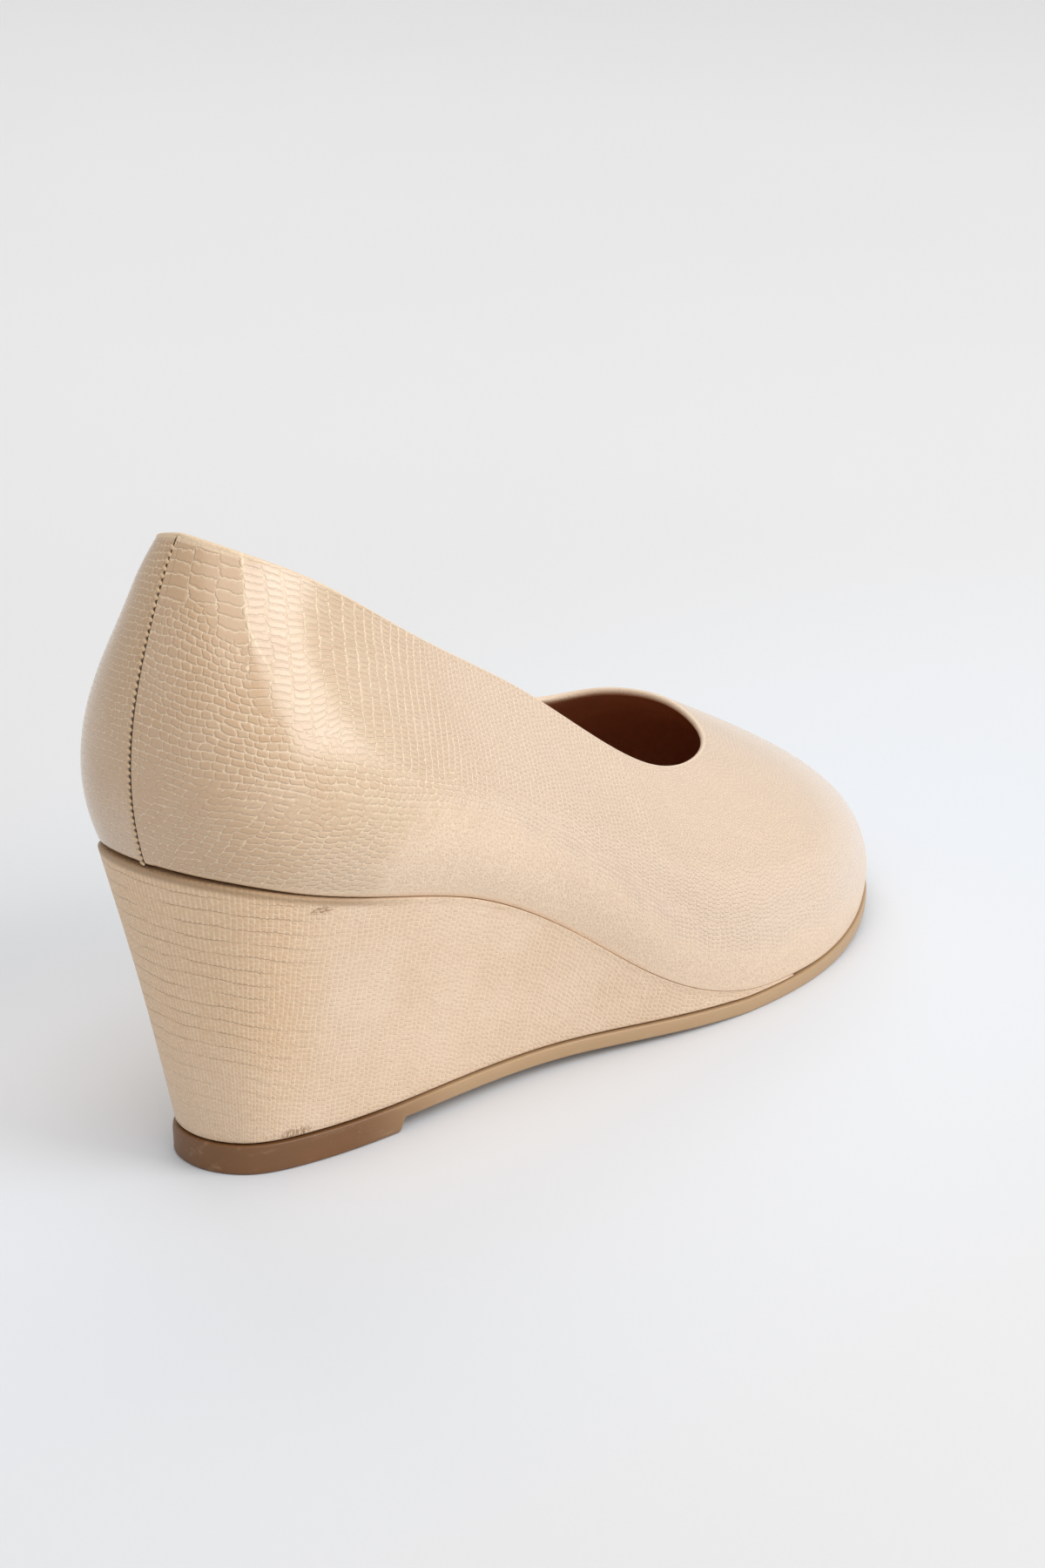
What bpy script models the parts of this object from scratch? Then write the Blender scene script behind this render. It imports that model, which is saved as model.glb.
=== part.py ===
"""Right wedge court shoe: upper, insole, wedge and outsole as four closed bodies.

Frame: metres, toe along +X, outer side of the foot at -Y, up +Z, floor at z = 0.
"""
import math

import bmesh
import bpy
import numpy as np

# overall sizes, metres
SHOE_LENGTH = 0.240
BALL_WIDTH = 0.080
SEAT_HEIGHT = 0.063
BACK_HEIGHT = 0.1355

# thicknesses, metres
WALL = 0.0016
INSOLE_THICKNESS = 0.0026
LIFT_THICKNESS = 0.0066
SHEET_THICKNESS = 0.0033

# heights and lengths of the sole's steps, metres
LIFT_LENGTH = 0.0385
STEP_LENGTH = 0.0020
SHANK_CLEARANCE = 0.0028
TOE_SPRING = 0.0062

# small edges, metres
SEAT_LIP = 0.0008
SOLE_LEDGE = 0.0006
WEDGE_TIP = 0.0007

# clearances, metres
MEET_GAP = 0.0003
INSOLE_GAP = 0.0003

# stretch of the sole that lies flat under the ball, as shares of the length
BALL_REAR = 0.640
BALL_FRONT = 0.740

# how finely the surfaces are cut
AROUND = 88
FINE_AROUND = 720
WALL_LEVELS = 10
WEDGE_LEVELS = 5
CROSS_CUTS = 4
SOLE_STATIONS = 56

# one row per place around the shoe, from the heel along the outer side to the toe
# and back along the inner side
# foot_x, top_x: share of SHOE_LENGTH; foot_y, top_y: share of BALL_WIDTH
# rise: height of the wedge over the sole, share of SEAT_HEIGHT
# top_z: height of the topline, share of BACK_HEIGHT
# flare, lean: slope of the wall at its foot and at its top, degrees
# hold_foot, hold_top: how far the wall keeps those slopes, share of its height
# inset: how far the sole's edge lies inside the wedge's top edge, share of SEAT_HEIGHT
COLUMNS = ("foot_x", "foot_y", "rise", "top_x", "top_y", "top_z",
           "flare", "lean", "hold_foot", "hold_top", "inset")
ROWS = {
    "heel_back": (.037, .000, 1.00, .087, .000, 1.00, 20, 30, .41, .28, .205),
    "heel_corner_out": (.062, -.217, .978, .104, -.115, .983, 24, 25, .41, .29, .208),
    "heel_out": (.141, -.346, .889, .163, -.201, .925, 27, 18, .43, .34, .197),
    "shank_out": (.284, -.395, .733, .278, -.253, .787, 29, 20, .46, .35, .166),
    "waist_out": (.436, -.414, .418, .411, -.288, .635, 27, 27, .48, .35, .114),
    "ball_out": (.601, -.485, .062, .555, -.352, .454, 18, 35, .47, .36, .013),
    "toe_out": (.772, -.480, .000, .661, -.280, .414, 13, 47, .40, .42, .000),
    "toe_corner_out": (.908, -.305, .000, .705, -.152, .423, 13, 58, .23, .47, .000),
    "toe_tip": (.985, .040, .000, .720, .028, .435, 14, 62, .17, .50, .000),
    "toe_corner_in": (.934, .325, .000, .708, .190, .428, 13, 60, .23, .47, .000),
    "toe_in": (.818, .490, .000, .667, .300, .418, 12, 49, .40, .42, .000),
    "ball_in": (.684, .497, .016, .586, .350, .462, 12, 38, .47, .36, .013),
    "waist_in": (.446, .350, .422, .417, .290, .650, 24, 31, .48, .35, .127),
    "shank_in": (.273, .333, .750, .279, .260, .790, 26, 23, .46, .35, .188),
    "heel_in": (.133, .332, .898, .162, .202, .925, 24, 18, .44, .35, .213),
    "heel_corner_in": (.061, .221, .978, .104, .113, .981, 22, 25, .41, .29, .211),
}

LEATHER = (0.72, 0.55, 0.38)
COVER = (0.74, 0.58, 0.42)
LINING = (0.12, 0.05, 0.03)
SOLE_TAN = (0.28, 0.16, 0.08)


def closed_spline(values, knots, t):
    """Smooth closed curve through the rows of values, read at each t from 0 to 1."""
    count = len(knots)
    step = np.diff(np.append(knots, knots[0] + 1.0))
    before = np.roll(step, 1)
    after_rows = np.roll(values, -1, 0)
    before_rows = np.roll(values, 1, 0)
    system = np.diag(2.0 * (before + step))
    for i in range(count):
        system[i, i - 1] += before[i]
        system[i, (i + 1) % count] += step[i]
    change = ((after_rows - values) / step[:, None]
              - (values - before_rows) / before[:, None])
    bend = np.linalg.solve(system, 6.0 * change)
    k = np.searchsorted(knots, t, side="right") - 1
    b = (k + 1) % count
    s = (t - knots[k])[:, None]
    h = step[k][:, None]
    slope = (values[b] - values[k]) / h - h * (2.0 * bend[k] + bend[b]) / 6.0
    return (values[k] + s * slope + s ** 2 * bend[k] / 2.0
            + s ** 3 * (bend[b] - bend[k]) / (6.0 * h))


def outward(curve):
    """Level directions pointing out of a closed curve, toe ahead, outer side first."""
    run = np.roll(curve, -1, 0) - np.roll(curve, 1, 0)
    side = np.stack([run[:, 1], -run[:, 0], 0.0 * run[:, 0]], axis=1)
    return side / np.linalg.norm(side, axis=1)[:, None]


def lift_front():
    """Where the heel lift ends, measured from the lift's own back edge."""
    heel = dict(zip(COLUMNS, ROWS["heel_back"]))
    back = heel["foot_x"] * SHOE_LENGTH + heel["inset"] * SEAT_HEIGHT - SOLE_LEDGE
    return back + LIFT_LENGTH


def sole_bottom(x):
    """Height of the underside: flat lift, step, raised shank, flat ball, toe spring."""
    front = lift_front()
    rear = BALL_REAR * SHOE_LENGTH
    ahead = BALL_FRONT * SHOE_LENGTH
    step = np.clip((x - front) / STEP_LENGTH, 0.0, 1.0)
    fall = np.clip((x - front - STEP_LENGTH) / (rear - front - STEP_LENGTH), 0.0, 1.0)
    toe = np.clip((x - ahead) / (SHOE_LENGTH - ahead), 0.0, 1.0)
    return SHANK_CLEARANCE * step * (1.0 - fall ** 2) + TOE_SPRING * toe ** 1.7


def sole_top(x):
    """Height of the upper face: it runs straight from the lift down to the shank."""
    front = lift_front() + STEP_LENGTH
    sheet = sole_bottom(np.maximum(x, front)) + SHEET_THICKNESS
    share = np.clip(x / front, 0.0, 1.0)
    return LIFT_THICKNESS + (sheet - LIFT_THICKNESS) * share


def shoe_lines(count):
    """Feather line, topline, the other columns and the wedge's rise at count places."""
    rows = np.array(list(ROWS.values()))
    value = dict(zip(COLUMNS, rows.T))
    foot = np.stack([value["foot_x"] * SHOE_LENGTH, value["foot_y"] * BALL_WIDTH,
                     value["rise"] * SEAT_HEIGHT], axis=1)
    top = np.stack([value["top_x"] * SHOE_LENGTH, value["top_y"] * BALL_WIDTH,
                    value["top_z"] * BACK_HEIGHT], axis=1)
    other = rows[:, COLUMNS.index("flare"):]
    gaps = (np.linalg.norm(np.roll(foot, -1, 0) - foot, axis=1)
            + 0.6 * np.linalg.norm(np.roll(top, -1, 0) - top, axis=1))
    knots = np.concatenate([[0.0], np.cumsum(gaps)[:-1]]) / gaps.sum()
    read = closed_spline(np.hstack([foot, top, other]), knots, np.arange(count) / count)
    foot, top, other = np.split(read, [3, 6], axis=1)
    rise = np.maximum(foot[:, 2], 0.0)
    foot[:, 2] = sole_top(foot[:, 0]) + MEET_GAP + rise
    return foot, top, other, rise


def wall_rings(foot, top, other):
    """Outer face of the upper, a cubic from feather line to topline at each place."""
    flare = np.radians(other[:, 0])[:, None]
    lean = np.radians(other[:, 1])[:, None]
    up = np.array([0.0, 0.0, 1.0])
    leave = outward(foot) * np.sin(flare) + up * np.cos(flare)
    arrive = outward(top) * np.sin(lean) - up * np.cos(lean)
    height = np.linalg.norm(top - foot, axis=1)[:, None]
    second = foot + leave * height * other[:, 2:3]
    third = top + arrive * height * other[:, 3:4]
    h = np.linspace(0.0, 1.0, WALL_LEVELS + 1)[:, None, None]
    return ((1 - h) ** 3 * foot + 3 * (1 - h) ** 2 * h * second
            + 3 * (1 - h) * h ** 2 * third + h ** 3 * top)


def band(low, high, count, closed=True):
    """Quads between two rows of points that start at low and at high."""
    reach = count if closed else count - 1
    return [(low + i, low + (i + 1) % count, high + (i + 1) % count, high + i)
            for i in range(reach)]


def strips(lines):
    """Quads between neighbouring lines of point numbers."""
    faces = []
    for near, far in zip(lines[:-1], lines[1:]):
        for k in range(len(near) - 1):
            faces.append((near[k], far[k], far[k + 1], near[k + 1]))
    return faces


def fan(point, line):
    """Triangles from one point to each piece of a line of point numbers."""
    return [(point, a, b) for a, b in zip(line[:-1], line[1:])]


def laid_across(start, first, last, ends):
    """Points and point numbers of one line laid from a ring's outer to its inner side."""
    share = np.arange(1, CROSS_CUTS) / CROSS_CUTS
    points = first + (last - first) * share[:, None]
    numbers = [ends[0]] + list(range(start, start + CROSS_CUTS - 1)) + [ends[1]]
    return points, numbers


def insole_mesh(foot, rings, other):
    """Footbed on the wedge and sole, clear of the wall, widening with it."""
    flare = np.radians(other[:, 0])[:, None]
    climb = rings[1] - rings[0]
    low = foot - outward(foot) * (WALL / np.cos(flare) + INSOLE_GAP)
    high = low + climb * (INSOLE_THICKNESS / climb[:, 2:3])
    count = len(low)
    half = count // 2
    points = [low, high]
    faces = band(0, count, count)
    start = 2 * count
    for base, ring in ((0, low), (count, high)):
        lines = []
        for i in range(1, half):
            ends = (base + i, base + count - i)
            across, numbers = laid_across(start, ring[i], ring[count - i], ends)
            points.append(across)
            lines.append(numbers)
            start += CROSS_CUTS - 1
        faces += strips(lines) + fan(base, lines[0]) + fan(base + half, lines[-1])
    return np.vstack(points), faces


def wedge_mesh(foot, other, rise):
    """Wedge under seat, waist and arch, ending where it thins out at the ball."""
    count = len(foot)
    thinner = np.minimum(rise, np.roll(rise[::-1], 1))
    last = int(np.argmax(thinner[1:] < WEDGE_TIP))
    keep = np.arange(-last, last + 1)
    side = outward(foot)
    lip = SEAT_LIP * np.clip(2.5 * rise / SEAT_HEIGHT, 0.0, 1.0)[:, None]
    high = foot + side * lip
    high[:, 2] -= MEET_GAP
    low = foot - side * other[:, 4:5] * SEAT_HEIGHT
    low[:, 2] = sole_top(low[:, 0]) + MEET_GAP
    share = np.linspace(0.0, 1.0, WEDGE_LEVELS + 1)[:, None, None]
    levels = (low + (high - low) * share)[:, keep]
    path = len(keep)
    points = list(levels)
    faces = []
    for k in range(WEDGE_LEVELS):
        faces += band(k * path, (k + 1) * path, path, closed=False)
    start = len(levels) * path
    ends_of_cap = []
    for k in (0, WEDGE_LEVELS):
        heel = k * path + last
        lines = []
        for i in range(1, last + 1):
            ends = (heel + i, heel - i)
            ring = levels[k]
            across, numbers = laid_across(start, ring[last + i], ring[last - i], ends)
            points.append(across)
            lines.append(numbers)
            start += CROSS_CUTS - 1
        faces += strips(lines) + fan(heel, lines[0])
        ends_of_cap.append(lines[-1])
    outer_edge = [k * path + path - 1 for k in range(1, WEDGE_LEVELS)]
    inner_edge = [k * path for k in range(1, WEDGE_LEVELS)]
    bottom, above = ends_of_cap
    faces.append(tuple(bottom + inner_edge + above[::-1] + outer_edge[::-1]))
    return np.vstack(points), faces


def sole_stations(back, nose):
    """Places along the sole, close together at its ends and one on each change."""
    turn = np.linspace(0.0, math.pi, SOLE_STATIONS)[1:-1]
    spread = back + (nose - back) * 0.5 * (1.0 - np.cos(turn))
    front = lift_front()
    changes = np.array([front, front + STEP_LENGTH,
                        BALL_REAR * SHOE_LENGTH, BALL_FRONT * SHOE_LENGTH])
    apart = np.abs(spread[:, None] - changes).min(axis=1) > STEP_LENGTH / 2
    return np.sort(np.concatenate([spread[apart], changes]))


def outsole_mesh():
    """Moulded outsole: heel lift, step, raised shank, flat ball and toe spring."""
    foot, top, other, rise = shoe_lines(FINE_AROUND)
    edge = foot + outward(foot) * (SOLE_LEDGE - other[:, 4:5] * SEAT_HEIGHT)
    edge = np.roll(edge, -int(edge[:, 0].argmin()), 0)
    turn = int(edge[:, 0].argmax())
    outer_edge = edge[:turn + 1]
    inner_edge = np.vstack([edge[turn:], edge[:1]])[::-1]
    back = edge[0]
    nose = edge[turn]
    places = sole_stations(back[0], nose[0])
    outer_y = np.interp(places, outer_edge[:, 0], outer_edge[:, 1])
    inner_y = np.interp(places, inner_edge[:, 0], inner_edge[:, 1])
    width = CROSS_CUTS + 1
    share = np.arange(width) / CROSS_CUTS
    y = outer_y[:, None] + (inner_y - outer_y)[:, None] * share
    x = np.repeat(places[:, None], width, axis=1)
    points = []
    for height in (sole_bottom, sole_top):
        points.append(np.stack([x, y, height(x)], axis=2).reshape(-1, 3))
    for end in (back, nose):
        for height in (sole_bottom, sole_top):
            points.append(np.array([[end[0], end[1], float(height(end[0]))]]))
    layer = len(places) * width
    grids = [base + np.arange(layer).reshape(-1, width) for base in (0, layer)]
    faces = []
    for grid in grids:
        faces += strips(grid.tolist())
    for side in (0, -1):
        faces += strips([grid[:, side].tolist() for grid in grids])
    for row, tip in ((0, 2 * layer), (-1, 2 * layer + 2)):
        below, above = (grid[row].tolist() for grid in grids)
        faces += fan(tip, below) + fan(tip + 1, above)
        faces.append((tip, below[0], above[0], tip + 1))
        faces.append((tip, below[-1], above[-1], tip + 1))
    return np.vstack(points), faces


def add_body(name, points, faces, colour, roughness, parent):
    """Object with outward normals, smooth shading and its own material."""
    mesh = bpy.data.meshes.new(name)
    mesh.from_pydata(points.tolist(), [], faces)
    shaped = bmesh.new()
    shaped.from_mesh(mesh)
    bmesh.ops.recalc_face_normals(shaped, faces=shaped.faces)
    shaped.to_mesh(mesh)
    shaped.free()
    mesh.shade_smooth()
    mesh.set_sharp_from_angle(angle=math.radians(40.0))
    material = bpy.data.materials.new(name + "_surface")
    material.use_nodes = True
    shader = material.node_tree.nodes["Principled BSDF"]
    shader.inputs["Base Color"].default_value = (*colour, 1.0)
    shader.inputs["Roughness"].default_value = roughness
    mesh.materials.append(material)
    body = bpy.data.objects.new(name, mesh)
    parent.objects.link(body)
    return body


def add_upper(rings, shift, parent):
    """Wall of the upper: the lofted outer face thickened inwards."""
    count = rings.shape[1]
    faces = []
    for k in range(WALL_LEVELS):
        faces += band(k * count, (k + 1) * count, count)
    points = rings.reshape(-1, 3) + shift
    upper = add_body("upper", points, faces, LEATHER, 0.45, parent)
    wall = upper.modifiers.new("wall", "SOLIDIFY")
    wall.thickness = WALL
    wall.offset = -1.0
    wall.use_rim = True
    return upper


def main():
    """Four bodies of the shoe in one collection, centred over the floor."""
    for old in list(bpy.data.objects):
        bpy.data.objects.remove(old, do_unlink=True)
    parent = bpy.data.collections.new("wedge_shoe")
    bpy.context.scene.collection.children.link(parent)
    foot, top, other, rise = shoe_lines(AROUND)
    rings = wall_rings(foot, top, other)
    solids = {
        "insole": (*insole_mesh(foot, rings, other), LINING, 0.6),
        "wedge": (*wedge_mesh(foot, other, rise), COVER, 0.5),
        "outsole": (*outsole_mesh(), SOLE_TAN, 0.4),
    }
    extent = np.vstack([rings.reshape(-1, 3), solids["outsole"][0]])
    middle = 0.5 * (extent.min(axis=0) + extent.max(axis=0))
    shift = np.array([-middle[0], -middle[1], 0.0])
    add_upper(rings, shift, parent)
    for name, (points, faces, colour, roughness) in solids.items():
        add_body(name, points + shift, faces, colour, roughness, parent)


main()
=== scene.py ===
"""Wedge court shoe for the right foot: upper, back seam, lining, sock, wedge cover, outsole.

Frame: metres, toe along +X, outer side of the foot at -Y, up +Z, floor at z = 0.
"""

import math

import bmesh
import bpy
import numpy as np
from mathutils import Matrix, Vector


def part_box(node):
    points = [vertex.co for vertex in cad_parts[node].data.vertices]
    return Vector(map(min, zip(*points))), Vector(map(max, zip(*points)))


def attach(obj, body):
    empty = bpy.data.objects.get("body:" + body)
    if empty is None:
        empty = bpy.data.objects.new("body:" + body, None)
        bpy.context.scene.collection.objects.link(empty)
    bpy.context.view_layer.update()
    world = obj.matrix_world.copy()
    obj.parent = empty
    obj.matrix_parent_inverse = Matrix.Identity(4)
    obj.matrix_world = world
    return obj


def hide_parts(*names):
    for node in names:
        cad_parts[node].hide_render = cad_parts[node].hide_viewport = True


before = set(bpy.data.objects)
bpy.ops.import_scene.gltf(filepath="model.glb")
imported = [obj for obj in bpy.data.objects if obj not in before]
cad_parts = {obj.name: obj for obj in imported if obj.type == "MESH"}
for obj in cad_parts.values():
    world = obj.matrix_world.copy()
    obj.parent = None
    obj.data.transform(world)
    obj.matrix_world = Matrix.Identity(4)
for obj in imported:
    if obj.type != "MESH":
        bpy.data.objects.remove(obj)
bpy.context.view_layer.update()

bl_info = {
    "name": "Wedge shoe",
    "version": (1, 0, 0),
    "blender": (4, 5, 0),
    "location": "View3D > Sidebar > Wedge shoe",
    "description": "Makes the leather, seam, lining, wedge cover and sole of a court shoe",
    "category": "Object",
}

# overall sizes, metres
SHOE_LENGTH = 0.240
BALL_WIDTH = 0.080
SEAT_HEIGHT = 0.063
BACK_HEIGHT = 0.1355

# thicknesses and steps of the sole, metres
WALL = 0.0016
INSOLE_THICKNESS = 0.0026
LIFT_THICKNESS = 0.0066
SHEET_THICKNESS = 0.0033
LIFT_LENGTH = 0.0385
STEP_LENGTH = 0.0020
SHANK_CLEARANCE = 0.0028
TOE_SPRING = 0.0062
SEAT_LIP = 0.0008
SOLE_LEDGE = 0.0006
WEDGE_TIP = 0.0007
COVER_TIP = 0.00004
MEET_GAP = 0.0003
INSOLE_GAP = 0.0003
# how far the wedge's cover turns in over the sole and under the upper, the rounding of its
# edge on the sole, and how far the lining reaches up behind the turned topline
COVER_TURN_LOW = 0.004
COVER_TURN_HIGH = 0.0035
COVER_BASE_RADIUS = 0.0006
LINING_OVERLAP = 0.0009

# depth of each finish's pores, grain, streaks or twist, metres
PORE_DEPTH = 0.00004
LINING_GRAIN = 0.00004
SOCK_GRAIN = 0.00005
SOLE_GRAIN = 0.00003
SOLE_STREAKS = 0.00008
THREAD_TWIST = 0.00004
FLOOR_GRAIN = 0.00003
# width and depth of the hollow that holds the back seam, metres
SEAM_WIDTH = 0.0019
SEAM_HOLLOW = 0.0006
# where the line of stitches runs beside the seam, metres
STITCH_LINE = -0.00072

# stretch of the sole that lies flat under the ball, as shares of the length
BALL_REAR = 0.640
BALL_FRONT = 0.740

# one row per place around the shoe, from the heel along the outer side to the toe
# and back along the inner side; lengths as shares of the sizes above, angles in degrees
COLUMNS = ("foot_x", "foot_y", "rise", "top_x", "top_y", "top_z",
           "flare", "lean", "hold_foot", "hold_top", "inset")
ROWS = {
    "heel_back": (.037, .000, 1.00, .087, .000, 1.00, 20, 30, .41, .28, .205),
    "heel_corner_out": (.062, -.217, .978, .104, -.115, .983, 24, 25, .41, .29, .208),
    "heel_out": (.141, -.346, .889, .163, -.201, .925, 27, 18, .43, .34, .197),
    "shank_out": (.284, -.395, .733, .278, -.253, .787, 29, 20, .46, .35, .166),
    "waist_out": (.436, -.414, .418, .411, -.288, .635, 27, 27, .48, .35, .114),
    "ball_out": (.601, -.485, .062, .555, -.352, .454, 18, 35, .47, .36, .013),
    "toe_out": (.772, -.480, .000, .661, -.280, .414, 13, 47, .40, .42, .000),
    "toe_corner_out": (.908, -.305, .000, .705, -.152, .423, 13, 58, .23, .47, .000),
    "toe_tip": (.985, .040, .000, .720, .028, .435, 14, 62, .17, .50, .000),
    "toe_corner_in": (.934, .325, .000, .708, .190, .428, 13, 60, .23, .47, .000),
    "toe_in": (.818, .490, .000, .667, .300, .418, 12, 49, .40, .42, .000),
    "ball_in": (.684, .497, .016, .586, .350, .462, 12, 38, .47, .36, .013),
    "waist_in": (.446, .350, .422, .417, .290, .650, 24, 31, .48, .35, .127),
    "shank_in": (.273, .333, .750, .279, .260, .790, 26, 23, .46, .35, .188),
    "heel_in": (.133, .332, .898, .162, .202, .925, 24, 18, .44, .35, .213),
    "heel_corner_in": (.061, .221, .978, .104, .113, .981, 22, 25, .41, .29, .211),
}

# embossing of the upper. Distances round the shoe start at the back seam and run along
# the outer side, in millimetres; what follows each is the size there, in millimetres
COLUMN_WIDTHS = ((0, 8.0), (24, 8.0), (24.05, 3.8), (29, 3.5), (33, 3.2), (37, 2.8),
                 (43, 2.45), (48, 2.1), (54, 1.85), (60, 1.65), (68, 1.5), (120, 1.5),
                 (200, 1.6), (330, 1.6), (420, 1.5), (500, 1.6), (540, 2.6))
COLUMN_HEIGHTS = ((0, 2.5), (23.97, 2.4), (24.03, 1.60), (36, 1.55), (46, 1.3), (60, 1.2),
                  (80, 1.15), (200, 1.2), (330, 1.2), (480, 1.20), (540, 1.45))
SCALE_WIDTHS = ((0, 2.2), (10, 2.6), (22, 2.5), (45, 2.0), (70, 1.6), (120, 1.45),
                (330, 1.5), (470, 1.6), (540, 2.0))
SCALE_HEIGHTS = ((0, 1.65), (25, 1.55), (60, 1.40), (120, 1.2), (330, 1.2), (470, 1.3),
                 (540, 1.45))
# share of the wall's height above which the columns show, and the share of pebble grain
# that shows below them
COLUMNS_FROM = ((0, .81), (12, .80), (22, .74), (26, .54), (35, .52), (50, .46), (75, .45),
                (100, .43), (125, .40), (160, .30), (260, .22), (370, .30), (440, .45),
                (490, .62), (520, .95), (540, 1.1))
PEBBLE_SHARE = ((0, -.4), (38, -.2), (70, 1.0), (440, 1.0), (490, -.2), (540, -.4))
# how far the counter's cream line runs from the back seam at the topline, and how much
# further forward low down
COUNTER_LINE = 24.0
COUNTER_SWING = 6.5
# faint fold of the counter on both sides: distance from the back seam at the topline, how
# much further round it lies low down, and its reach, in millimetres; and its slope
CREASE_LINE = 22.5
CREASE_SWING = 7.0
CREASE_REACH = 5.5
CREASE_SLOPE = 0.065
# how strongly the grooves show
GROOVE_CONTRAST = ((0, .85), (40, .85), (70, .82), (100, .80), (200, .70), (400, .65),
                   (500, .75), (540, .8))
# how far the columns lean from square to the sole line, as a slope
COLUMN_LEAN = ((0, 0.0), (24, 0.0), (80, .36), (150, .36), (210, 0.0), (320, 0.0),
               (380, -.36), (450, -.36), (506, 0.0), (540, 0.0))

# how far the scales lean low down, where they run in slanting chains, and the height up
# to which they lean, in metres
SCALE_LEAN = ((0, .7), (70, .7), (150, 0.0), (380, 0.0), (460, -.7), (540, -.7))
CHAIN_HEIGHT = 0.024
# width of the smooth band at the topline
BAND_WIDTHS = ((0, 1.7), (20, 1.5), (30, .8), (60, .55), (470, .55), (510, 1.0), (540, 1.7))

# embossing of the wedge cover, in millimetres: ribs by distance from the middle of the
# heel and width, and how far the dark serrated lines at the back stand apart
RIB_WIDTHS = ((0, .85), (15, .9), (35, 1.3), (200, 1.35))
LINE_PITCH = 3.33
# its scuffs: place round the heel and height, reach both ways, all in millimetres, and
# how closely the strokes stand both ways
SCUFFS = (((29.3, 55.6), (3.2, 1.1), (0.8, 1.6)), ((30.0, 1.2), (4.8, 1.5), (1.8, 0.4)))

# how far the topline dips below its plain curve, in millimetres
TOP_DIP = ((0, 0), (495, 0), (506, .45), (514, .75), (520, .65), (526, .30), (530.5, 0))

# soft hollows and swellings of the upper: distance round the shoe, share of the height,
# reach along, reach up, slant in degrees and depth, lengths in millimetres
SOFT_FORMS = (
    (16, .30, 11, 16, 10, .28), (52, .42, 15, 12, -25, -.30), (96, .26, 16, 7, -18, -.45),
    (118, .55, 12, 15, 20, .25), (150, .35, 14, 8, -12, -.35), (188, .40, 9, 18, 12, -.35),
    (204, .45, 8, 17, 8, .30), (335, .45, 9, 18, -10, -.30), (352, .40, 8, 16, -8, .25),
    (398, .28, 16, 7, 15, -.40), (440, .50, 14, 13, -15, .25), (486, .42, 15, 12, 25, -.28),
    (516, .32, 10, 16, -8, .25), (519, .89, 12, 8, 0, .75),
)

# painted light: the first tint cools the floor round the shoe against the warm light that the
# leather throws on it, the second pales it where the shoe's shadow falls
# tints of the floor: middle, where each starts to fade and where it ends, in millimetres
# across the shoe, and how much further it reaches along it
FLOOR_TINTS = (((0.0, 0.0), 50.0, 220.0), ((-62.0, 58.0), 8.0, 62.0))
TINT_SPREAD = (2.0, 1.0)

# camera, what it looks at, and the way in which the floor runs back and up, in metres
CAMERA_PLACE = (-0.7425, -0.6105, 0.4272)
CAMERA_AIM = (0.004, 0.0, 0.052)
FLOOR_RUN = (0.6736, 0.6563, 0.0)
# soft lamps: name, direction, distance, width and height; the sun's direction
LAMP_AIM = (-0.03, 0.0, 0.06)
LAMPS = (("key_light", (0.331, -0.819, 0.469), 1.25, 0.75, 0.95),
         ("rim_light", (0.5, 0.5, 0.7), 1.3, 1.0, 0.6))
SUN_DIRECTION = (-0.15, -0.45, 0.87)

# what all colours and all lengths of the panel have in common
PAINT = {"subtype": "COLOR", "size": 3, "min": 0.0, "max": 1.0}
LENGTH = {"subtype": "DISTANCE", "unit": "LENGTH", "precision": 5}


def closed_spline(values, knots, t):
    """Smooth closed curve through the rows of values, read at each t from 0 to 1."""
    count = len(knots)
    step = np.diff(np.append(knots, knots[0] + 1.0))
    before = np.roll(step, 1)
    after_rows = np.roll(values, -1, 0)
    before_rows = np.roll(values, 1, 0)
    system = np.diag(2.0 * (before + step))
    for i in range(count):
        system[i, i - 1] += before[i]
        system[i, (i + 1) % count] += step[i]
    change = ((after_rows - values) / step[:, None]
              - (values - before_rows) / before[:, None])
    bend = np.linalg.solve(system, 6.0 * change)
    k = np.searchsorted(knots, t, side="right") - 1
    b = (k + 1) % count
    s = (t - knots[k])[:, None]
    h = step[k][:, None]
    slope = (values[b] - values[k]) / h - h * (2.0 * bend[k] + bend[b]) / 6.0
    return (values[k] + s * slope + s ** 2 * bend[k] / 2.0
            + s ** 3 * (bend[b] - bend[k]) / (6.0 * h))


def lift_front():
    """Where the heel lift ends, measured from the lift's own back edge."""
    heel = dict(zip(COLUMNS, ROWS["heel_back"]))
    back = heel["foot_x"] * SHOE_LENGTH + heel["inset"] * SEAT_HEIGHT - SOLE_LEDGE
    return back + LIFT_LENGTH


def sole_bottom(x):
    """Height of the underside: flat lift, step, raised shank, flat ball, toe spring."""
    front = lift_front()
    rear = BALL_REAR * SHOE_LENGTH
    ahead = BALL_FRONT * SHOE_LENGTH
    step = np.clip((x - front) / STEP_LENGTH, 0.0, 1.0)
    fall = np.clip((x - front - STEP_LENGTH) / (rear - front - STEP_LENGTH), 0.0, 1.0)
    toe = np.clip((x - ahead) / (SHOE_LENGTH - ahead), 0.0, 1.0)
    return SHANK_CLEARANCE * step * (1.0 - fall ** 2) + TOE_SPRING * toe ** 1.7


def sole_top(x):
    """Height of the upper face: it runs straight from the lift down to the shank."""
    front = lift_front() + STEP_LENGTH
    sheet = sole_bottom(np.maximum(x, front)) + SHEET_THICKNESS
    share = np.clip(x / front, 0.0, 1.0)
    return LIFT_THICKNESS + (sheet - LIFT_THICKNESS) * share


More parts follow.
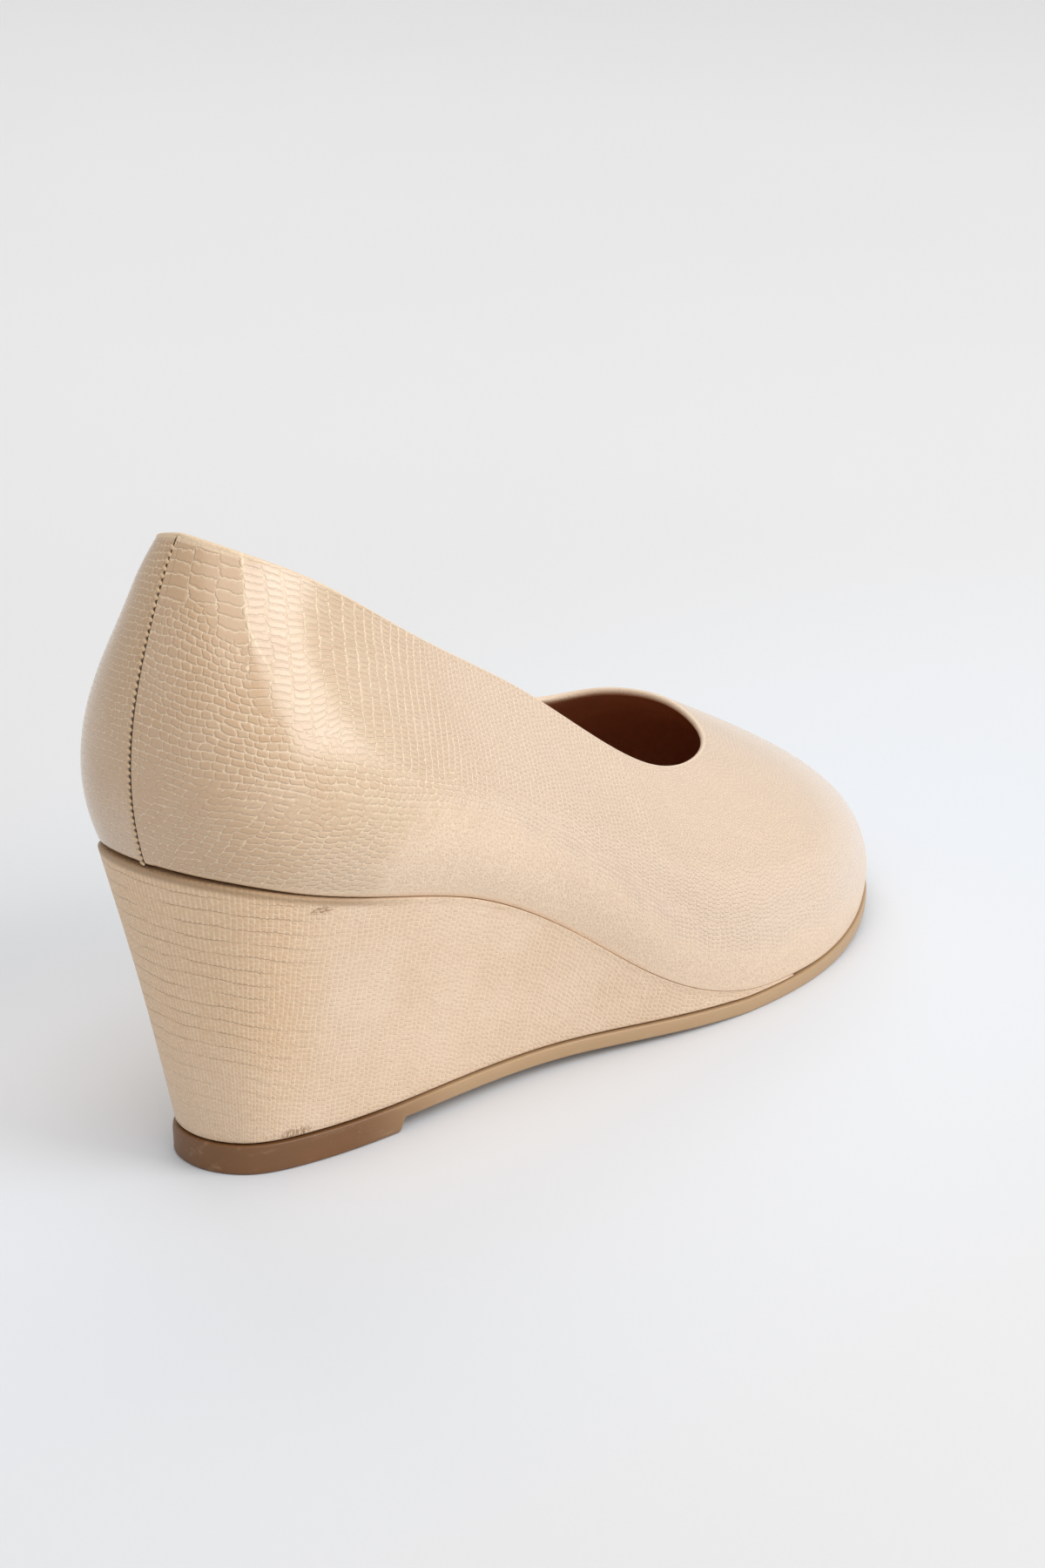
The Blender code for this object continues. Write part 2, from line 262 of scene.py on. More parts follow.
def soft_step(x):
    """Underside of the sole with the step in front of the lift eased."""
    front = lift_front()
    share = np.clip((x - front) / STEP_LENGTH, 0.0, 1.0)
    eased = share * share * (3.0 - 2.0 * share)
    return sole_bottom(x) + SHANK_CLEARANCE * (eased - share)


def read_lines(t):
    """Feather line, topline, the other columns and the rise at each t."""
    rows = np.array(list(ROWS.values()))
    value = dict(zip(COLUMNS, rows.T))
    foot = np.stack([value["foot_x"] * SHOE_LENGTH, value["foot_y"] * BALL_WIDTH,
                     value["rise"] * SEAT_HEIGHT], axis=1)
    top = np.stack([value["top_x"] * SHOE_LENGTH, value["top_y"] * BALL_WIDTH,
                    value["top_z"] * BACK_HEIGHT], axis=1)
    other = rows[:, COLUMNS.index("flare"):]
    gaps = (np.linalg.norm(np.roll(foot, -1, 0) - foot, axis=1)
            + 0.6 * np.linalg.norm(np.roll(top, -1, 0) - top, axis=1))
    knots = np.concatenate([[0.0], np.cumsum(gaps)[:-1]]) / gaps.sum()
    read = closed_spline(np.hstack([foot, top, other]), knots, np.mod(t, 1.0))
    foot, top, other = np.split(read, [3, 6], axis=1)
    rise = np.maximum(foot[:, 2], 0.0)
    foot[:, 2] = sole_top(foot[:, 0]) + MEET_GAP + rise
    return foot, top, other, rise


def shoe_lines(t):
    """The lines at each t with the level directions that point out of them."""
    foot, top, other, rise = read_lines(t)
    ahead = read_lines(t + 0.0008)
    behind = read_lines(t - 0.0008)
    sides = []
    for k in (0, 1):
        run = ahead[k] - behind[k]
        side = np.stack([run[:, 1], -run[:, 0], 0.0 * run[:, 0]], axis=1)
        sides.append(side / np.linalg.norm(side, axis=1)[:, None])
    return foot, top, other, rise, sides[0], sides[1]


def unit(vectors):
    """The same directions, each one long."""
    return vectors / np.linalg.norm(vectors, axis=-1, keepdims=True)


def wall_points(t, levels):
    """Outer face of the upper, a cubic from feather line to topline at each place."""
    foot, top, other, _, foot_side, top_side = shoe_lines(t)
    flare = np.radians(other[:, 0])[:, None]
    lean = np.radians(other[:, 1])[:, None]
    up = np.array([0.0, 0.0, 1.0])
    leave = foot_side * np.sin(flare) + up * np.cos(flare)
    arrive = top_side * np.sin(lean) - up * np.cos(lean)
    height = np.linalg.norm(top - foot, axis=1)[:, None]
    second = foot + leave * height * other[:, 2:3]
    third = top + arrive * height * other[:, 3:4]
    h = np.linspace(0.0, 1.0, levels)[:, None, None]
    return ((1 - h) ** 3 * foot + 3 * (1 - h) ** 2 * h * second
            + 3 * (1 - h) * h ** 2 * third + h ** 3 * top)


def part_shift():
    """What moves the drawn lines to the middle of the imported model's box."""
    t = np.arange(88) / 88
    wall = wall_points(t, 11)
    low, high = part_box("upper")
    middle = 0.5 * (wall.min(axis=(0, 1)) + wall.max(axis=(0, 1)))
    return np.array([0.5 * (low.x + high.x) - middle[0],
                     0.5 * (low.y + high.y) - middle[1], 0.0])


SHIFT = part_shift()


class Wall:
    """The upper's outer face, read by distance round the shoe and height, in metres."""

    def __init__(self):
        t = np.linspace(0.0, 1.0, 2401)
        middle = wall_points(t, 3)[1]
        steps = np.linalg.norm(np.diff(middle, axis=0), axis=1)
        self.t = t
        self.round = np.concatenate([[0.0], np.cumsum(steps)])
        self.length = self.round[-1]

    def place(self, distance):
        """Parameter of the shoe's lines at each distance from the back seam."""
        turns = np.floor(distance / self.length)
        inside = distance - turns * self.length
        return np.interp(inside, self.round, self.t) + turns

    def column(self, distance, shares):
        """Points, outward normals and heights at shares of each place's own height."""
        step = 0.0006
        fine = {}
        for key, moved in (("at", 0.0), ("ahead", step), ("behind", -step)):
            points = wall_points(self.place(distance + moved), 81)
            rise = np.linalg.norm(np.diff(points, axis=0), axis=2)
            climbed = np.vstack([np.zeros(len(distance)), np.cumsum(rise, axis=0)])
            fine[key] = (points, climbed)
        inside = np.mod(distance, self.length)
        reach = 1.0 - 0.001 * table_value(TOP_DIP, inside) / fine["at"][1][-1]
        read = {}
        for key, (points, climbed) in fine.items():
            rows = np.empty((len(shares), len(distance), 3))
            for i in range(len(distance)):
                wanted = shares * climbed[-1, i] * reach[i]
                for k in range(3):
                    rows[:, i, k] = np.interp(wanted, climbed[:, i], points[:, i, k])
            read[key] = rows
        along = read["ahead"] - read["behind"]
        points, climbed = fine["at"]
        up = np.empty_like(along)
        tangent = np.gradient(points, axis=0)
        for i in range(len(distance)):
            wanted = shares * climbed[-1, i] * reach[i]
            for k in range(3):
                up[:, i, k] = np.interp(wanted, climbed[:, i], tangent[:, i, k])
        normal = unit(np.cross(along, up))
        return read["at"], normal, unit(up), climbed[-1] * reach


WALL_FACE = Wall()


def table_value(table, distance):
    """Value of a listed table at each distance in metres from the back seam."""
    places, values = np.array(table, float).T
    return np.interp(distance * 1000.0, places, values)


def counted(table, distance):
    """How many columns of the table's widths fit up to each distance in metres."""
    places, widths = np.array(table, float).T
    fine = np.linspace(-60.0, 620.0, 3401)
    per_step = np.gradient(fine) / np.interp(fine, places, widths)
    total = np.cumsum(per_step)
    total -= np.interp(0.0, fine, total)
    return np.interp(distance * 1000.0, fine, total)


def emboss_places(distance, height, wall_height, stretch):
    """Column and scale numbers and zones at each point, for the leather's material."""
    lean = table_value(COLUMN_LEAN, distance)
    leant = distance - lean * height
    share = height / wall_height
    below_band = (1000.0 * (wall_height - height)
                  - 1.2 * table_value(BAND_WIDTHS, distance))
    columns = np.stack([counted(COLUMN_WIDTHS, leant),
                        -below_band / table_value(COLUMN_HEIGHTS, distance),
                        stretch * table_value(COLUMN_WIDTHS, leant)], axis=-1)
    chained = (distance
               - table_value(SCALE_LEAN, distance) * np.minimum(height, CHAIN_HEIGHT))
    scales = np.stack([counted(SCALE_WIDTHS, chained),
                       1000.0 * height / table_value(SCALE_HEIGHTS, distance),
                       stretch * table_value(SCALE_WIDTHS, distance)], axis=-1)
    start = table_value(COLUMNS_FROM, distance)
    low = np.clip(0.5 + (start - share) / 0.16, -1.0, 2.0)
    pebble = (table_value(PEBBLE_SHARE, distance)
              * np.clip(0.5 + (start - 0.10 - share) / 0.20, 0.0, 1.5))
    zones = np.stack([low, pebble, table_value(GROOVE_CONTRAST, distance)], axis=-1)
    return columns, scales, zones


def soft_forms(distance, share, wall_height):
    """How far the soft hollows and swellings move the wall outwards, in metres."""
    moved = np.zeros(np.broadcast(distance, share).shape)
    total = 1000.0 * WALL_FACE.length
    for at, up, reach, climb, slant, depth in SOFT_FORMS:
        a = (distance * 1000.0 - at + 0.5 * total) % total - 0.5 * total
        b = (share - up) * wall_height * 1000.0
        turn = math.radians(slant)
        along = (a * math.cos(turn) + b * math.sin(turn)) / reach
        across = (b * math.cos(turn) - a * math.sin(turn)) / climb
        moved += 0.001 * depth * np.exp(-along ** 2 - across ** 2)
    return moved


def counter_crease(distance, share):
    """Faint fold of the counter beside the heel, on both sides, in metres inwards."""
    moved = np.zeros(np.broadcast(distance, share).shape)
    total = 1000.0 * WALL_FACE.length
    for at in (distance * 1000.0, total - distance * 1000.0):
        line = CREASE_LINE + CREASE_SWING * (1.0 - share)
        away = np.abs(at - line)
        strength = np.clip((share - 0.45) / 0.25, 0.0, 1.0)
        moved += 0.001 * CREASE_SLOPE * away * np.exp(-(away / CREASE_REACH) ** 2) * strength
    return moved


def rounded_in(distance, radius):
    """Depth of a rounded edge at each distance from where it turns in."""
    share = np.clip(1.0 - distance / radius, 0.0, 1.0)
    return radius * (1.0 - np.sqrt(1.0 - share ** 2))


def grid_faces(levels, places, closed=False):
    """Quads of a grid of points numbered along each level."""
    faces = []
    last = places if closed else places - 1
    for k in range(levels - 1):
        row = k * places
        for i in range(last):
            j = (i + 1) % places
            faces.append((row + i, row + j, row + places + j, row + places + i))
    return faces


def fill_across(points, faces, pairs, across):
    """Join facing points of a ring by rows of points and quads; gives each row's numbers."""
    known = np.vstack(points)
    start = len(known)
    share = np.arange(1, across) / across
    rows = []
    for a, b in pairs:
        points.append(known[a] + (known[b] - known[a]) * share[:, None])
        rows.append([a, *range(start, start + across - 1), b])
        start += across - 1
    for near, far in zip(rows[:-1], rows[1:]):
        faces += [(near[k], far[k], far[k + 1], near[k + 1]) for k in range(across)]
    return rows


def fan(tip, row):
    """Triangles from one point to a row of points."""
    return [(tip, a, b) for a, b in zip(row[:-1], row[1:])]


def add_piece(name, points, faces, material, attributes, sharp):
    """Mesh piece in the shoe's frame that moves with the shoe, sharp above an angle."""
    mesh = bpy.data.meshes.new(name)
    mesh.from_pydata((points + SHIFT).tolist(), [], faces)
    mesh.validate()
    for key, values in (attributes or {}).items():
        layer = mesh.attributes.new(key, "FLOAT_VECTOR", "POINT")
        layer.data.foreach_set("vector", np.ascontiguousarray(values, np.float32).ravel())
    mesh.shade_smooth()
    mesh.set_sharp_from_angle(angle=math.radians(sharp))
    mesh.materials.append(material)
    piece = bpy.data.objects.new(name, mesh)
    bpy.context.scene.collection.objects.link(piece)
    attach(piece, "root")
    return piece


def tidy_normals(piece):
    """Turn all faces of a closed piece outwards."""
    shaped = bmesh.new()
    shaped.from_mesh(piece.data)
    bmesh.ops.recalc_face_normals(shaped, faces=shaped.faces)
    shaped.to_mesh(piece.data)
    shaped.free()


def feed(tree, socket, value):
    """Link a socket to another, or set its own value; a colour is three shares."""
    if isinstance(value, bpy.types.NodeSocket):
        tree.links.new(value, socket)
    elif socket.type == "RGBA":
        socket.default_value = (*value, 1.0)
    else:
        socket.default_value = value


def node(tree, kind, inputs=None, **settings):
    """Shader node with its options set and its sockets fed by name or number."""
    made = tree.nodes.new(kind)
    for key, value in settings.items():
        setattr(made, key, value)
    for key, value in (inputs or {}).items():
        feed(tree, made.inputs[key], value)
    return made


def calc(tree, operation, *values, clamp=False):
    """Result of one arithmetic step."""
    made = node(tree, "ShaderNodeMath", dict(enumerate(values)), operation=operation,
                use_clamp=clamp)
    return made.outputs[0]


def vector_calc(tree, operation, *values):
    """Result of one arithmetic step on a vector."""
    made = node(tree, "ShaderNodeVectorMath", dict(enumerate(values)), operation=operation)
    return made.outputs[0]


def ramp(tree, value, start, end, low=0.0, high=1.0):
    """Value eased from low to high while the input goes from start to end."""
    made = node(tree, "ShaderNodeMapRange",
                {"Value": value, "From Min": start, "From Max": end,
                 "To Min": low, "To Max": high}, interpolation_type="SMOOTHSTEP")
    return made.outputs["Result"]


def far_from(tree, place, spot, spread):
    """Distance from a spot, in reaches that differ along and across."""
    away = vector_calc(tree, "SUBTRACT", place, (*spot, 0.0))
    away = vector_calc(tree, "DIVIDE", away, (*spread, 1.0))
    made = node(tree, "ShaderNodeVectorMath", {0: away}, operation="LENGTH")
    return made.outputs["Value"]


def mixed(tree, share, first, second, blend="MIX"):
    """Colour between two, or laid over the first in another way."""
    made = node(tree, "ShaderNodeMix", None, data_type="RGBA", blend_type=blend)
    feed(tree, made.inputs[0], share)
    feed(tree, made.inputs[6], first)
    feed(tree, made.inputs[7], second)
    return made.outputs[2]


def between(tree, share, first, second):
    """Number between two."""
    made = node(tree, "ShaderNodeMix", None, data_type="FLOAT")
    feed(tree, made.inputs[0], share)
    feed(tree, made.inputs[2], first)
    feed(tree, made.inputs[3], second)
    return made.outputs[0]


def noise(tree, vector, scale, detail=2.0, roughness=0.5, output="Fac"):
    """Cloudy noise at a scale."""
    made = node(tree, "ShaderNodeTexNoise",
                {"Vector": vector, "Scale": scale, "Detail": detail,
                 "Roughness": roughness})
    return made.outputs[output]


def attribute(tree, name):
    """Vector that the mesh carries under a name."""
    return node(tree, "ShaderNodeAttribute", None, attribute_name=name).outputs["Vector"]


def parts(tree, vector):
    """The three numbers of a vector."""
    return node(tree, "ShaderNodeSeparateXYZ", {0: vector}).outputs


def joined(tree, x, y, z=0.0):
    """Vector of three numbers."""
    return node(tree, "ShaderNodeCombineXYZ", {0: x, 1: y, 2: z}).outputs[0]


def blank_material(name):
    """Material with its tree, its shader and the shader's output still to be fed."""
    material = bpy.data.materials.new(name)
    material.use_nodes = True
    tree = material.node_tree
    return material, tree, tree.nodes["Principled BSDF"]


def dress(tree, shader, colour, roughness, normal):
    """Feed the shader its colour, roughness and normal."""
    feed(tree, shader.inputs["Base Color"], colour)
    feed(tree, shader.inputs["Roughness"], roughness)
    feed(tree, shader.inputs["Normal"], normal)


def bumped(tree, height, depth, normal=None):
    """Normal raised by a height map of a depth in metres."""
    inputs = {"Height": height, "Distance": depth, "Strength": 1.0}
    if normal is not None:
        inputs["Normal"] = normal
    return node(tree, "ShaderNodeBump", inputs).outputs["Normal"]


def warped(tree, cells, place, wide, fine):
    """Cell numbers pushed about by soft and by fine noise, as shares of a cell."""
    half = (0.5, 0.5, 0.5)
    soft = vector_calc(tree, "SUBTRACT", noise(tree, place, 0.11, 1.0, output="Color"), half)
    small = vector_calc(tree, "SUBTRACT", noise(tree, place, 0.55, 1.0, output="Color"), half)
    pushed = vector_calc(tree, "ADD", cells, vector_calc(tree, "MULTIPLY", soft, wide))
    return vector_calc(tree, "ADD", pushed, vector_calc(tree, "MULTIPLY", small, fine))


def chance(tree, number):
    """A number from 0 to 1 that is the same all over a column or row of scales."""
    return node(tree, "ShaderNodeTexWhiteNoise", {"W": number},
                noise_dimensions="1D").outputs["Value"]


def cell_faces(tree, across, along, width, height, rounding):
    """Distance to the nearest groove round each cell, and a tone for each cell."""
    number = joined(tree, calc(tree, "FLOOR", across), calc(tree, "FLOOR", along))
    tone = node(tree, "ShaderNodeTexWhiteNoise", {"Vector": number},
                noise_dimensions="2D").outputs["Value"]
    side = calc(tree, "MULTIPLY", calc(tree, "PINGPONG", across, 0.5), width)
    end = calc(tree, "MULTIPLY", calc(tree, "PINGPONG", along, 0.5), height)
    return calc(tree, "SMOOTH_MIN", side, end, rounding), tone


def column_cells(tree, cells, height, rounding, slip):
    """Blocks in straight columns that have slipped along each other."""
    across, along, width = parts(tree, cells)
    offset = chance(tree, calc(tree, "FLOOR", across))
    along = calc(tree, "MULTIPLY_ADD", offset, slip, along)
    return cell_faces(tree, across, along, width, height, rounding)


def staggered_cells(tree, cells, height, rounding):
    """Rounded scales, each row half a scale on from the last."""
    across, along, width = parts(tree, cells)
    row = calc(tree, "FLOOR", along)
    across = calc(tree, "MULTIPLY_ADD", calc(tree, "PINGPONG", row, 1.0), 0.5, across)
    across = calc(tree, "MULTIPLY_ADD", chance(tree, row), 0.3, across)
    return cell_faces(tree, across, along, width, height, rounding)


def upper_leather(sizes):
    """Satin beige leather with scales that change in size and shape round the shoe."""
    material, tree, shader = blank_material("scale_embossed_leather")
    place = attribute(tree, "place")
    distance, height, below_edge = parts(tree, place)
    low, pebble, contrast = parts(tree, attribute(tree, "zones"))
    flat = joined(tree, distance, height)

    columns = warped(tree, attribute(tree, "columns"), flat, (.55, .8, 0.0), (.36, .44, 0.0))
    block, block_tone = column_cells(tree, columns, 1.4, 0.36, 0.9)
    scales = warped(tree, attribute(tree, "scales"), flat, (1.6, 1.4, 0.0), (.50, .44, 0.0))
    scale, scale_tone = staggered_cells(tree, scales, 1.45, 0.55)
    chain, chain_tone = column_cells(tree, scales, 1.45, 0.45, 1.0)
    chained = ramp(tree, calc(tree, "MULTIPLY_ADD", noise(tree, flat, 0.16, 1.0), 12.0,
                              height), 20.0, 30.0, 1.0, 0.0)
    scale = between(tree, chained, scale, chain)
    scale_tone = between(tree, chained, scale_tone, chain_tone)
    grain = node(tree, "ShaderNodeTexVoronoi", {"Vector": flat, "Scale": 1.15},
                 feature="DISTANCE_TO_EDGE").outputs["Distance"]

    patch = noise(tree, flat, 0.22, 2.0)
    low = ramp(tree, calc(tree, "MULTIPLY_ADD", patch, 1.2, low), 1.02, 1.18)
    pebble = ramp(tree, calc(tree, "MULTIPLY_ADD", patch, 0.7, pebble), 0.55, 1.35)
    edge = ramp(tree, below_edge, 1.0, 1.25, 1.0, 0.0)
    band = calc(tree, "MULTIPLY", edge, 0.65)
    swing = ramp(tree, height, 42.0, 56.0, COUNTER_SWING, 0.0)
    line = calc(tree, "ADD", swing, COUNTER_LINE)
    from_line = calc(tree, "ABSOLUTE", calc(tree, "SUBTRACT", distance, line))
    counter = calc(tree, "MULTIPLY", ramp(tree, from_line, 0.22, 0.62, 1.0, 0.0),
                   ramp(tree, height, 42.0, 49.0))

    block_dome = ramp(tree, block, -0.04, 0.34)
    scale_dome = ramp(tree, scale, -0.08, 0.42)
    grain_dome = ramp(tree, grain, 0.0, 0.40, 0.44, 0.80)
    dome = between(tree, low, block_dome, scale_dome)
    dome = between(tree, pebble, dome, grain_dome)
    edge = calc(tree, "MAXIMUM", edge, ramp(tree, height, 0.9, 2.2, 0.8, 0.0))
    dome = between(tree, edge, dome, ramp(tree, grain, 0.0, 0.40, 0.75, 0.95))

    block_groove = ramp(tree, block, -0.04, 0.15, 1.0, 0.0)
    scale_groove = ramp(tree, scale, -0.06, 0.16, 1.0, 0.0)
    grain_groove = ramp(tree, grain, 0.03, 0.20, 0.60, 0.0)
    groove = between(tree, low, block_groove, scale_groove)
    groove = between(tree, pebble, groove, grain_groove)
    groove = between(tree, edge, groove, 0.35)
    groove = calc(tree, "MAXIMUM", groove, calc(tree, "MAXIMUM", band, counter))
    tone = between(tree, low, block_tone, scale_tone)

    cloud = noise(tree, flat, 0.035, 2.0)
    nearest = calc(tree, "PINGPONG", distance, 500.0 * WALL_FACE.length)
    # painted shade: towards the back seam, on both sides, the scales turn to the darker
    # colour, standing in for the lower light there; each cell's own random tone is added to
    # it
    rear = ramp(tree, calc(tree, "MULTIPLY_ADD", cloud, 14.0, nearest), 14.0, 62.0, 0.8, 0.0)
    colour = mixed(tree, calc(tree, "MULTIPLY_ADD", tone, 0.5, rear, clamp=True),
                   sizes.scale_colour, sizes.scale_shade)
    paler = calc(tree, "MULTIPLY", pebble, 0.8)
    # painted light: the leather turns paler towards the toe, on top of the pebbled low side,
    # which is paler in its own colour
    paler = calc(tree, "MAXIMUM", paler, ramp(tree, nearest, 34.0, 110.0, 0.0, 0.85))
    colour = mixed(tree, paler, colour, sizes.pale_colour)
    colour = mixed(tree, ramp(tree, cloud, 0.3, 0.75, 0.0, 0.35), colour,
                   sizes.pale_colour)
    colour = mixed(tree, calc(tree, "MULTIPLY", groove, contrast), colour,
                   sizes.groove_colour)
    speck = ramp(tree, noise(tree, flat, 1.9, 4.0, 0.7), 0.42, 0.70, 0.0, 0.55)
    colour = mixed(tree, speck, colour, sizes.scale_shade)

    wear = noise(tree, flat, 0.09, 3.0)
    roughness = between(tree, groove, sizes.scale_roughness, sizes.groove_roughness)
    roughness = calc(tree, "MULTIPLY_ADD", wear, 0.12, roughness)
    shader.inputs["Coat Roughness"].default_value = 0.2
    shader.inputs["Specular IOR Level"].default_value = 0.6
    shader.inputs["Coat IOR"].default_value = 1.65
    gloss = between(tree, pebble, ramp(tree, groove, 0.0, 1.0, 1.0, 0.05), 0.25)
    tree.links.new(gloss, shader.inputs["Coat Weight"])

    fine = noise(tree, flat, 2.6, 4.0, 0.6)
    normal = bumped(tree, dome, sizes.emboss_depth)
    normal = bumped(tree, fine, PORE_DEPTH, normal)
    dress(tree, shader, colour, roughness, normal)
    return material


def cover_leather(sizes):
    """The same leather on the wedge: fine ribs, serrated lines at the rear, fine cells."""
    material, tree, shader = blank_material("wedge_cover_leather")
    place = attribute(tree, "place")
    distance, height, below_lip = parts(tree, place)
    rear, low, _ = parts(tree, attribute(tree, "zones"))
    flat = joined(tree, distance, height)

    cells = warped(tree, attribute(tree, "columns"), flat, (.9, .45, 0.0), (.30, .12, 0.0))
    across, along, rib_width = parts(tree, cells)
    rib = calc(tree, "PINGPONG", across, 0.5)
    serrated = calc(tree, "MULTIPLY_ADD", rib, 0.14, along)
    line = calc(tree, "MULTIPLY", calc(tree, "PINGPONG", serrated, 0.5), LINE_PITCH)
    broken = noise(tree, flat, 0.10, 2.0)
    line_share = calc(tree, "MULTIPLY", rear, ramp(tree, broken, 0.30, 0.55, 0.1, 1.0))
    line_mark = calc(tree, "MULTIPLY", ramp(tree, line, 0.04, 0.16, 1.0, 0.0), line_share)
    beads = vector_calc(tree, "MULTIPLY", cells, (1.0, 3.0, 1.0))
    bead, bead_tone = column_cells(tree, beads, 1.1, 0.30, 1.0)
    dome = calc(tree, "MULTIPLY", ramp(tree, bead, -0.02, 0.30),
                ramp(tree, bead_tone, 0.0, 1.0, 0.45, 1.0))
    dome = calc(tree, "SUBTRACT", dome, calc(tree, "MULTIPLY", line_mark, 0.7))

    chains = ramp(tree, calc(tree, "MULTIPLY", rib, rib_width), 0.02, 0.22, 0.8, 0.0)
    pale = calc(tree, "MAXIMUM", ramp(tree, bead, 0.0, 0.2, 0.6, 0.0), chains)
    pale = calc(tree, "MULTIPLY", pale,
                ramp(tree, noise(tree, flat, 0.9, 2.0), 0.35, 0.62, 0.2, 1.0))
    cloud = noise(tree, flat, 0.05, 3.0)
    colour = mixed(tree, ramp(tree, cloud, 0.3, 0.75, 0.0, 0.6),
                   sizes.cover_colour, sizes.cover_pale)
    colour = mixed(tree, calc(tree, "MULTIPLY", rear, 0.7), colour,
                   sizes.cover_rear)
    colour = mixed(tree, pale, colour, sizes.cover_groove)
    colour = mixed(tree, calc(tree, "MULTIPLY", line_mark, 0.55), colour,
                   sizes.line_colour)
    pits = ramp(tree, noise(tree, flat, 2.3, 3.0, 0.6), 0.60, 0.70, 0.0, 0.5)
    colour = mixed(tree, pits, colour, sizes.pits_and_lip_shade)
    # painted shade: darker along the lip just under the upper, most at the heel
    lip = calc(tree, "MULTIPLY", ramp(tree, below_lip, 0.9, 2.3, 0.85, 0.0), low)
    colour = mixed(tree, lip, colour, sizes.pits_and_lip_shade)

    for spot, spread, stroke in SCUFFS:
        reach = far_from(tree, flat, spot, spread)
        strokes = noise(tree, vector_calc(tree, "MULTIPLY", flat, (*stroke, 1.0)), 1.6, 2.0)
        scuffed = calc(tree, "MULTIPLY", ramp(tree, reach, 0.45, 1.1, 1.0, 0.0),
                       ramp(tree, strokes, 0.44, 0.54, 0.0, 0.85))
        colour = mixed(tree, scuffed, colour, sizes.line_colour)

    roughness = calc(tree, "MULTIPLY_ADD", noise(tree, flat, 0.12, 3.0), 0.16, 0.42)
    shader.inputs["Coat Weight"].default_value = 0.05
    shader.inputs["Coat Roughness"].default_value = 0.35
    normal = bumped(tree, dome, sizes.cover_depth)
    normal = bumped(tree, noise(tree, flat, 2.6, 4.0, 0.6), PORE_DEPTH, normal)
    dress(tree, shader, colour, roughness, normal)
    return material


def seam_leather(sizes):
    """The upper's leather again, with painted shade inside the seam's slot and stitch holes.
    """
    material = bpy.data.materials["scale_embossed_leather"].copy()
    material.name = "seam_leather"
    tree = material.node_tree
    base = tree.nodes["Principled BSDF"].inputs["Base Color"]
    # painted shade of the seam's slot and stitch holes, carried by the mesh
    dark = parts(tree, attribute(tree, "seam"))[0]
    feed(tree, base, mixed(tree, dark, base.links[0].from_socket, sizes.hole_shade_colour))
    return material


def object_place(tree):
    """Place in the shoe's own frame, in millimetres."""
    place = node(tree, "ShaderNodeTexCoord").outputs["Object"]
    return vector_calc(tree, "MULTIPLY", place, (1000.0, 1000.0, 1000.0))


def lining_leather(name, sizes, depth):
    """Smooth dark brown leather with a fine grain, paler where it is rubbed."""
    material, tree, shader = blank_material(name)
    place = object_place(tree)
    cloud = noise(tree, place, 0.06, 3.0)
    pores = node(tree, "ShaderNodeTexVoronoi", {"Vector": place, "Scale": 1.6})
    pores = pores.outputs["Distance"]
    colour = mixed(tree, ramp(tree, cloud, 0.3, 0.7), sizes.lining_colour, sizes.lining_light)
    dark_pores = ramp(tree, pores, 0.0, 0.35, 0.35, 0.0)
    colour = mixed(tree, dark_pores, colour, sizes.lining_colour, "MULTIPLY")
    roughness = calc(tree, "MULTIPLY_ADD", noise(tree, place, 0.2, 2.0), 0.2, 0.42)
    grain = calc(tree, "MULTIPLY_ADD", noise(tree, place, 1.2, 4.0, 0.6), 0.7,
                 ramp(tree, pores, 0.0, 0.5))
    dress(tree, shader, colour, roughness, bumped(tree, grain, depth))
    return material


def sole_rubber(sizes):
    """Satin moulded rubber, paler ahead of the lift, faintly streaked and flecked, with
    painted shade towards its underside.
    """
    material, tree, shader = blank_material("outsole_rubber")
    place = object_place(tree)
    x, _, z = parts(tree, place)
    long_place = vector_calc(tree, "MULTIPLY", place, (0.25, 1.0, 1.6))
    streak = noise(tree, long_place, 0.35, 4.0, 0.6)
    cloud = noise(tree, place, 0.05, 2.0)
    colour = mixed(tree, ramp(tree, cloud, 0.3, 0.7, 0.0, 0.6),
                   sizes.sole_colour, sizes.sole_shade)
    colour = mixed(tree, ramp(tree, x, -76.0, -40.0, 0.0, 0.75), colour,
                   sizes.sole_pale)
    colour = mixed(tree, ramp(tree, streak, 0.55, 0.78, 0.0, 0.35), colour,
                   sizes.sole_pale)
    fleck = ramp(tree, noise(tree, place, 1.1, 3.0), 0.70, 0.76, 0.0, 0.55)
    colour = mixed(tree, fleck, colour, sizes.sole_pale)
    # painted shade: the rubber darkens towards its underside
    under = ramp(tree, z, -0.2, 0.25, 0.45, 0.0)
    colour = mixed(tree, under, colour, sizes.sole_shade)
    roughness = calc(tree, "MULTIPLY_ADD", streak, 0.22, 0.30)
    grain = noise(tree, place, 2.6, 3.0, 0.6)
    normal = bumped(tree, grain, SOLE_GRAIN)
    normal = bumped(tree, streak, SOLE_STREAKS, normal)
    dress(tree, shader, colour, roughness, normal)
    return material


def thread_material(sizes):
    """Twisted cream thread, with painted shade between its strands."""
    material, tree, shader = blank_material("seam_thread")
    place = object_place(tree)
    wave = node(tree, "ShaderNodeTexWave",
                {"Vector": place, "Scale": 1.6, "Distortion": 1.5, "Detail": 1.0},
                wave_type="BANDS", bands_direction="DIAGONAL").outputs["Fac"]
    # painted shade: darker bands between the strands
    colour = mixed(tree, ramp(tree, wave, 0.1, 0.9), sizes.thread_shade,
                   sizes.thread_colour)
    dress(tree, shader, colour, 0.6, bumped(tree, wave, THREAD_TWIST))
    return material


def leather_levels():
    """Shares of the wall's height for the levels of the leather, closer at its ends."""
    low = np.array([0.0, .002, .005, .009, .014, .020, .028, .038])
    middle = np.linspace(.05, .93, 56)
    high = np.array([.945, .957, .967, .975, .981, .986])
    return np.concatenate([low, middle, high])


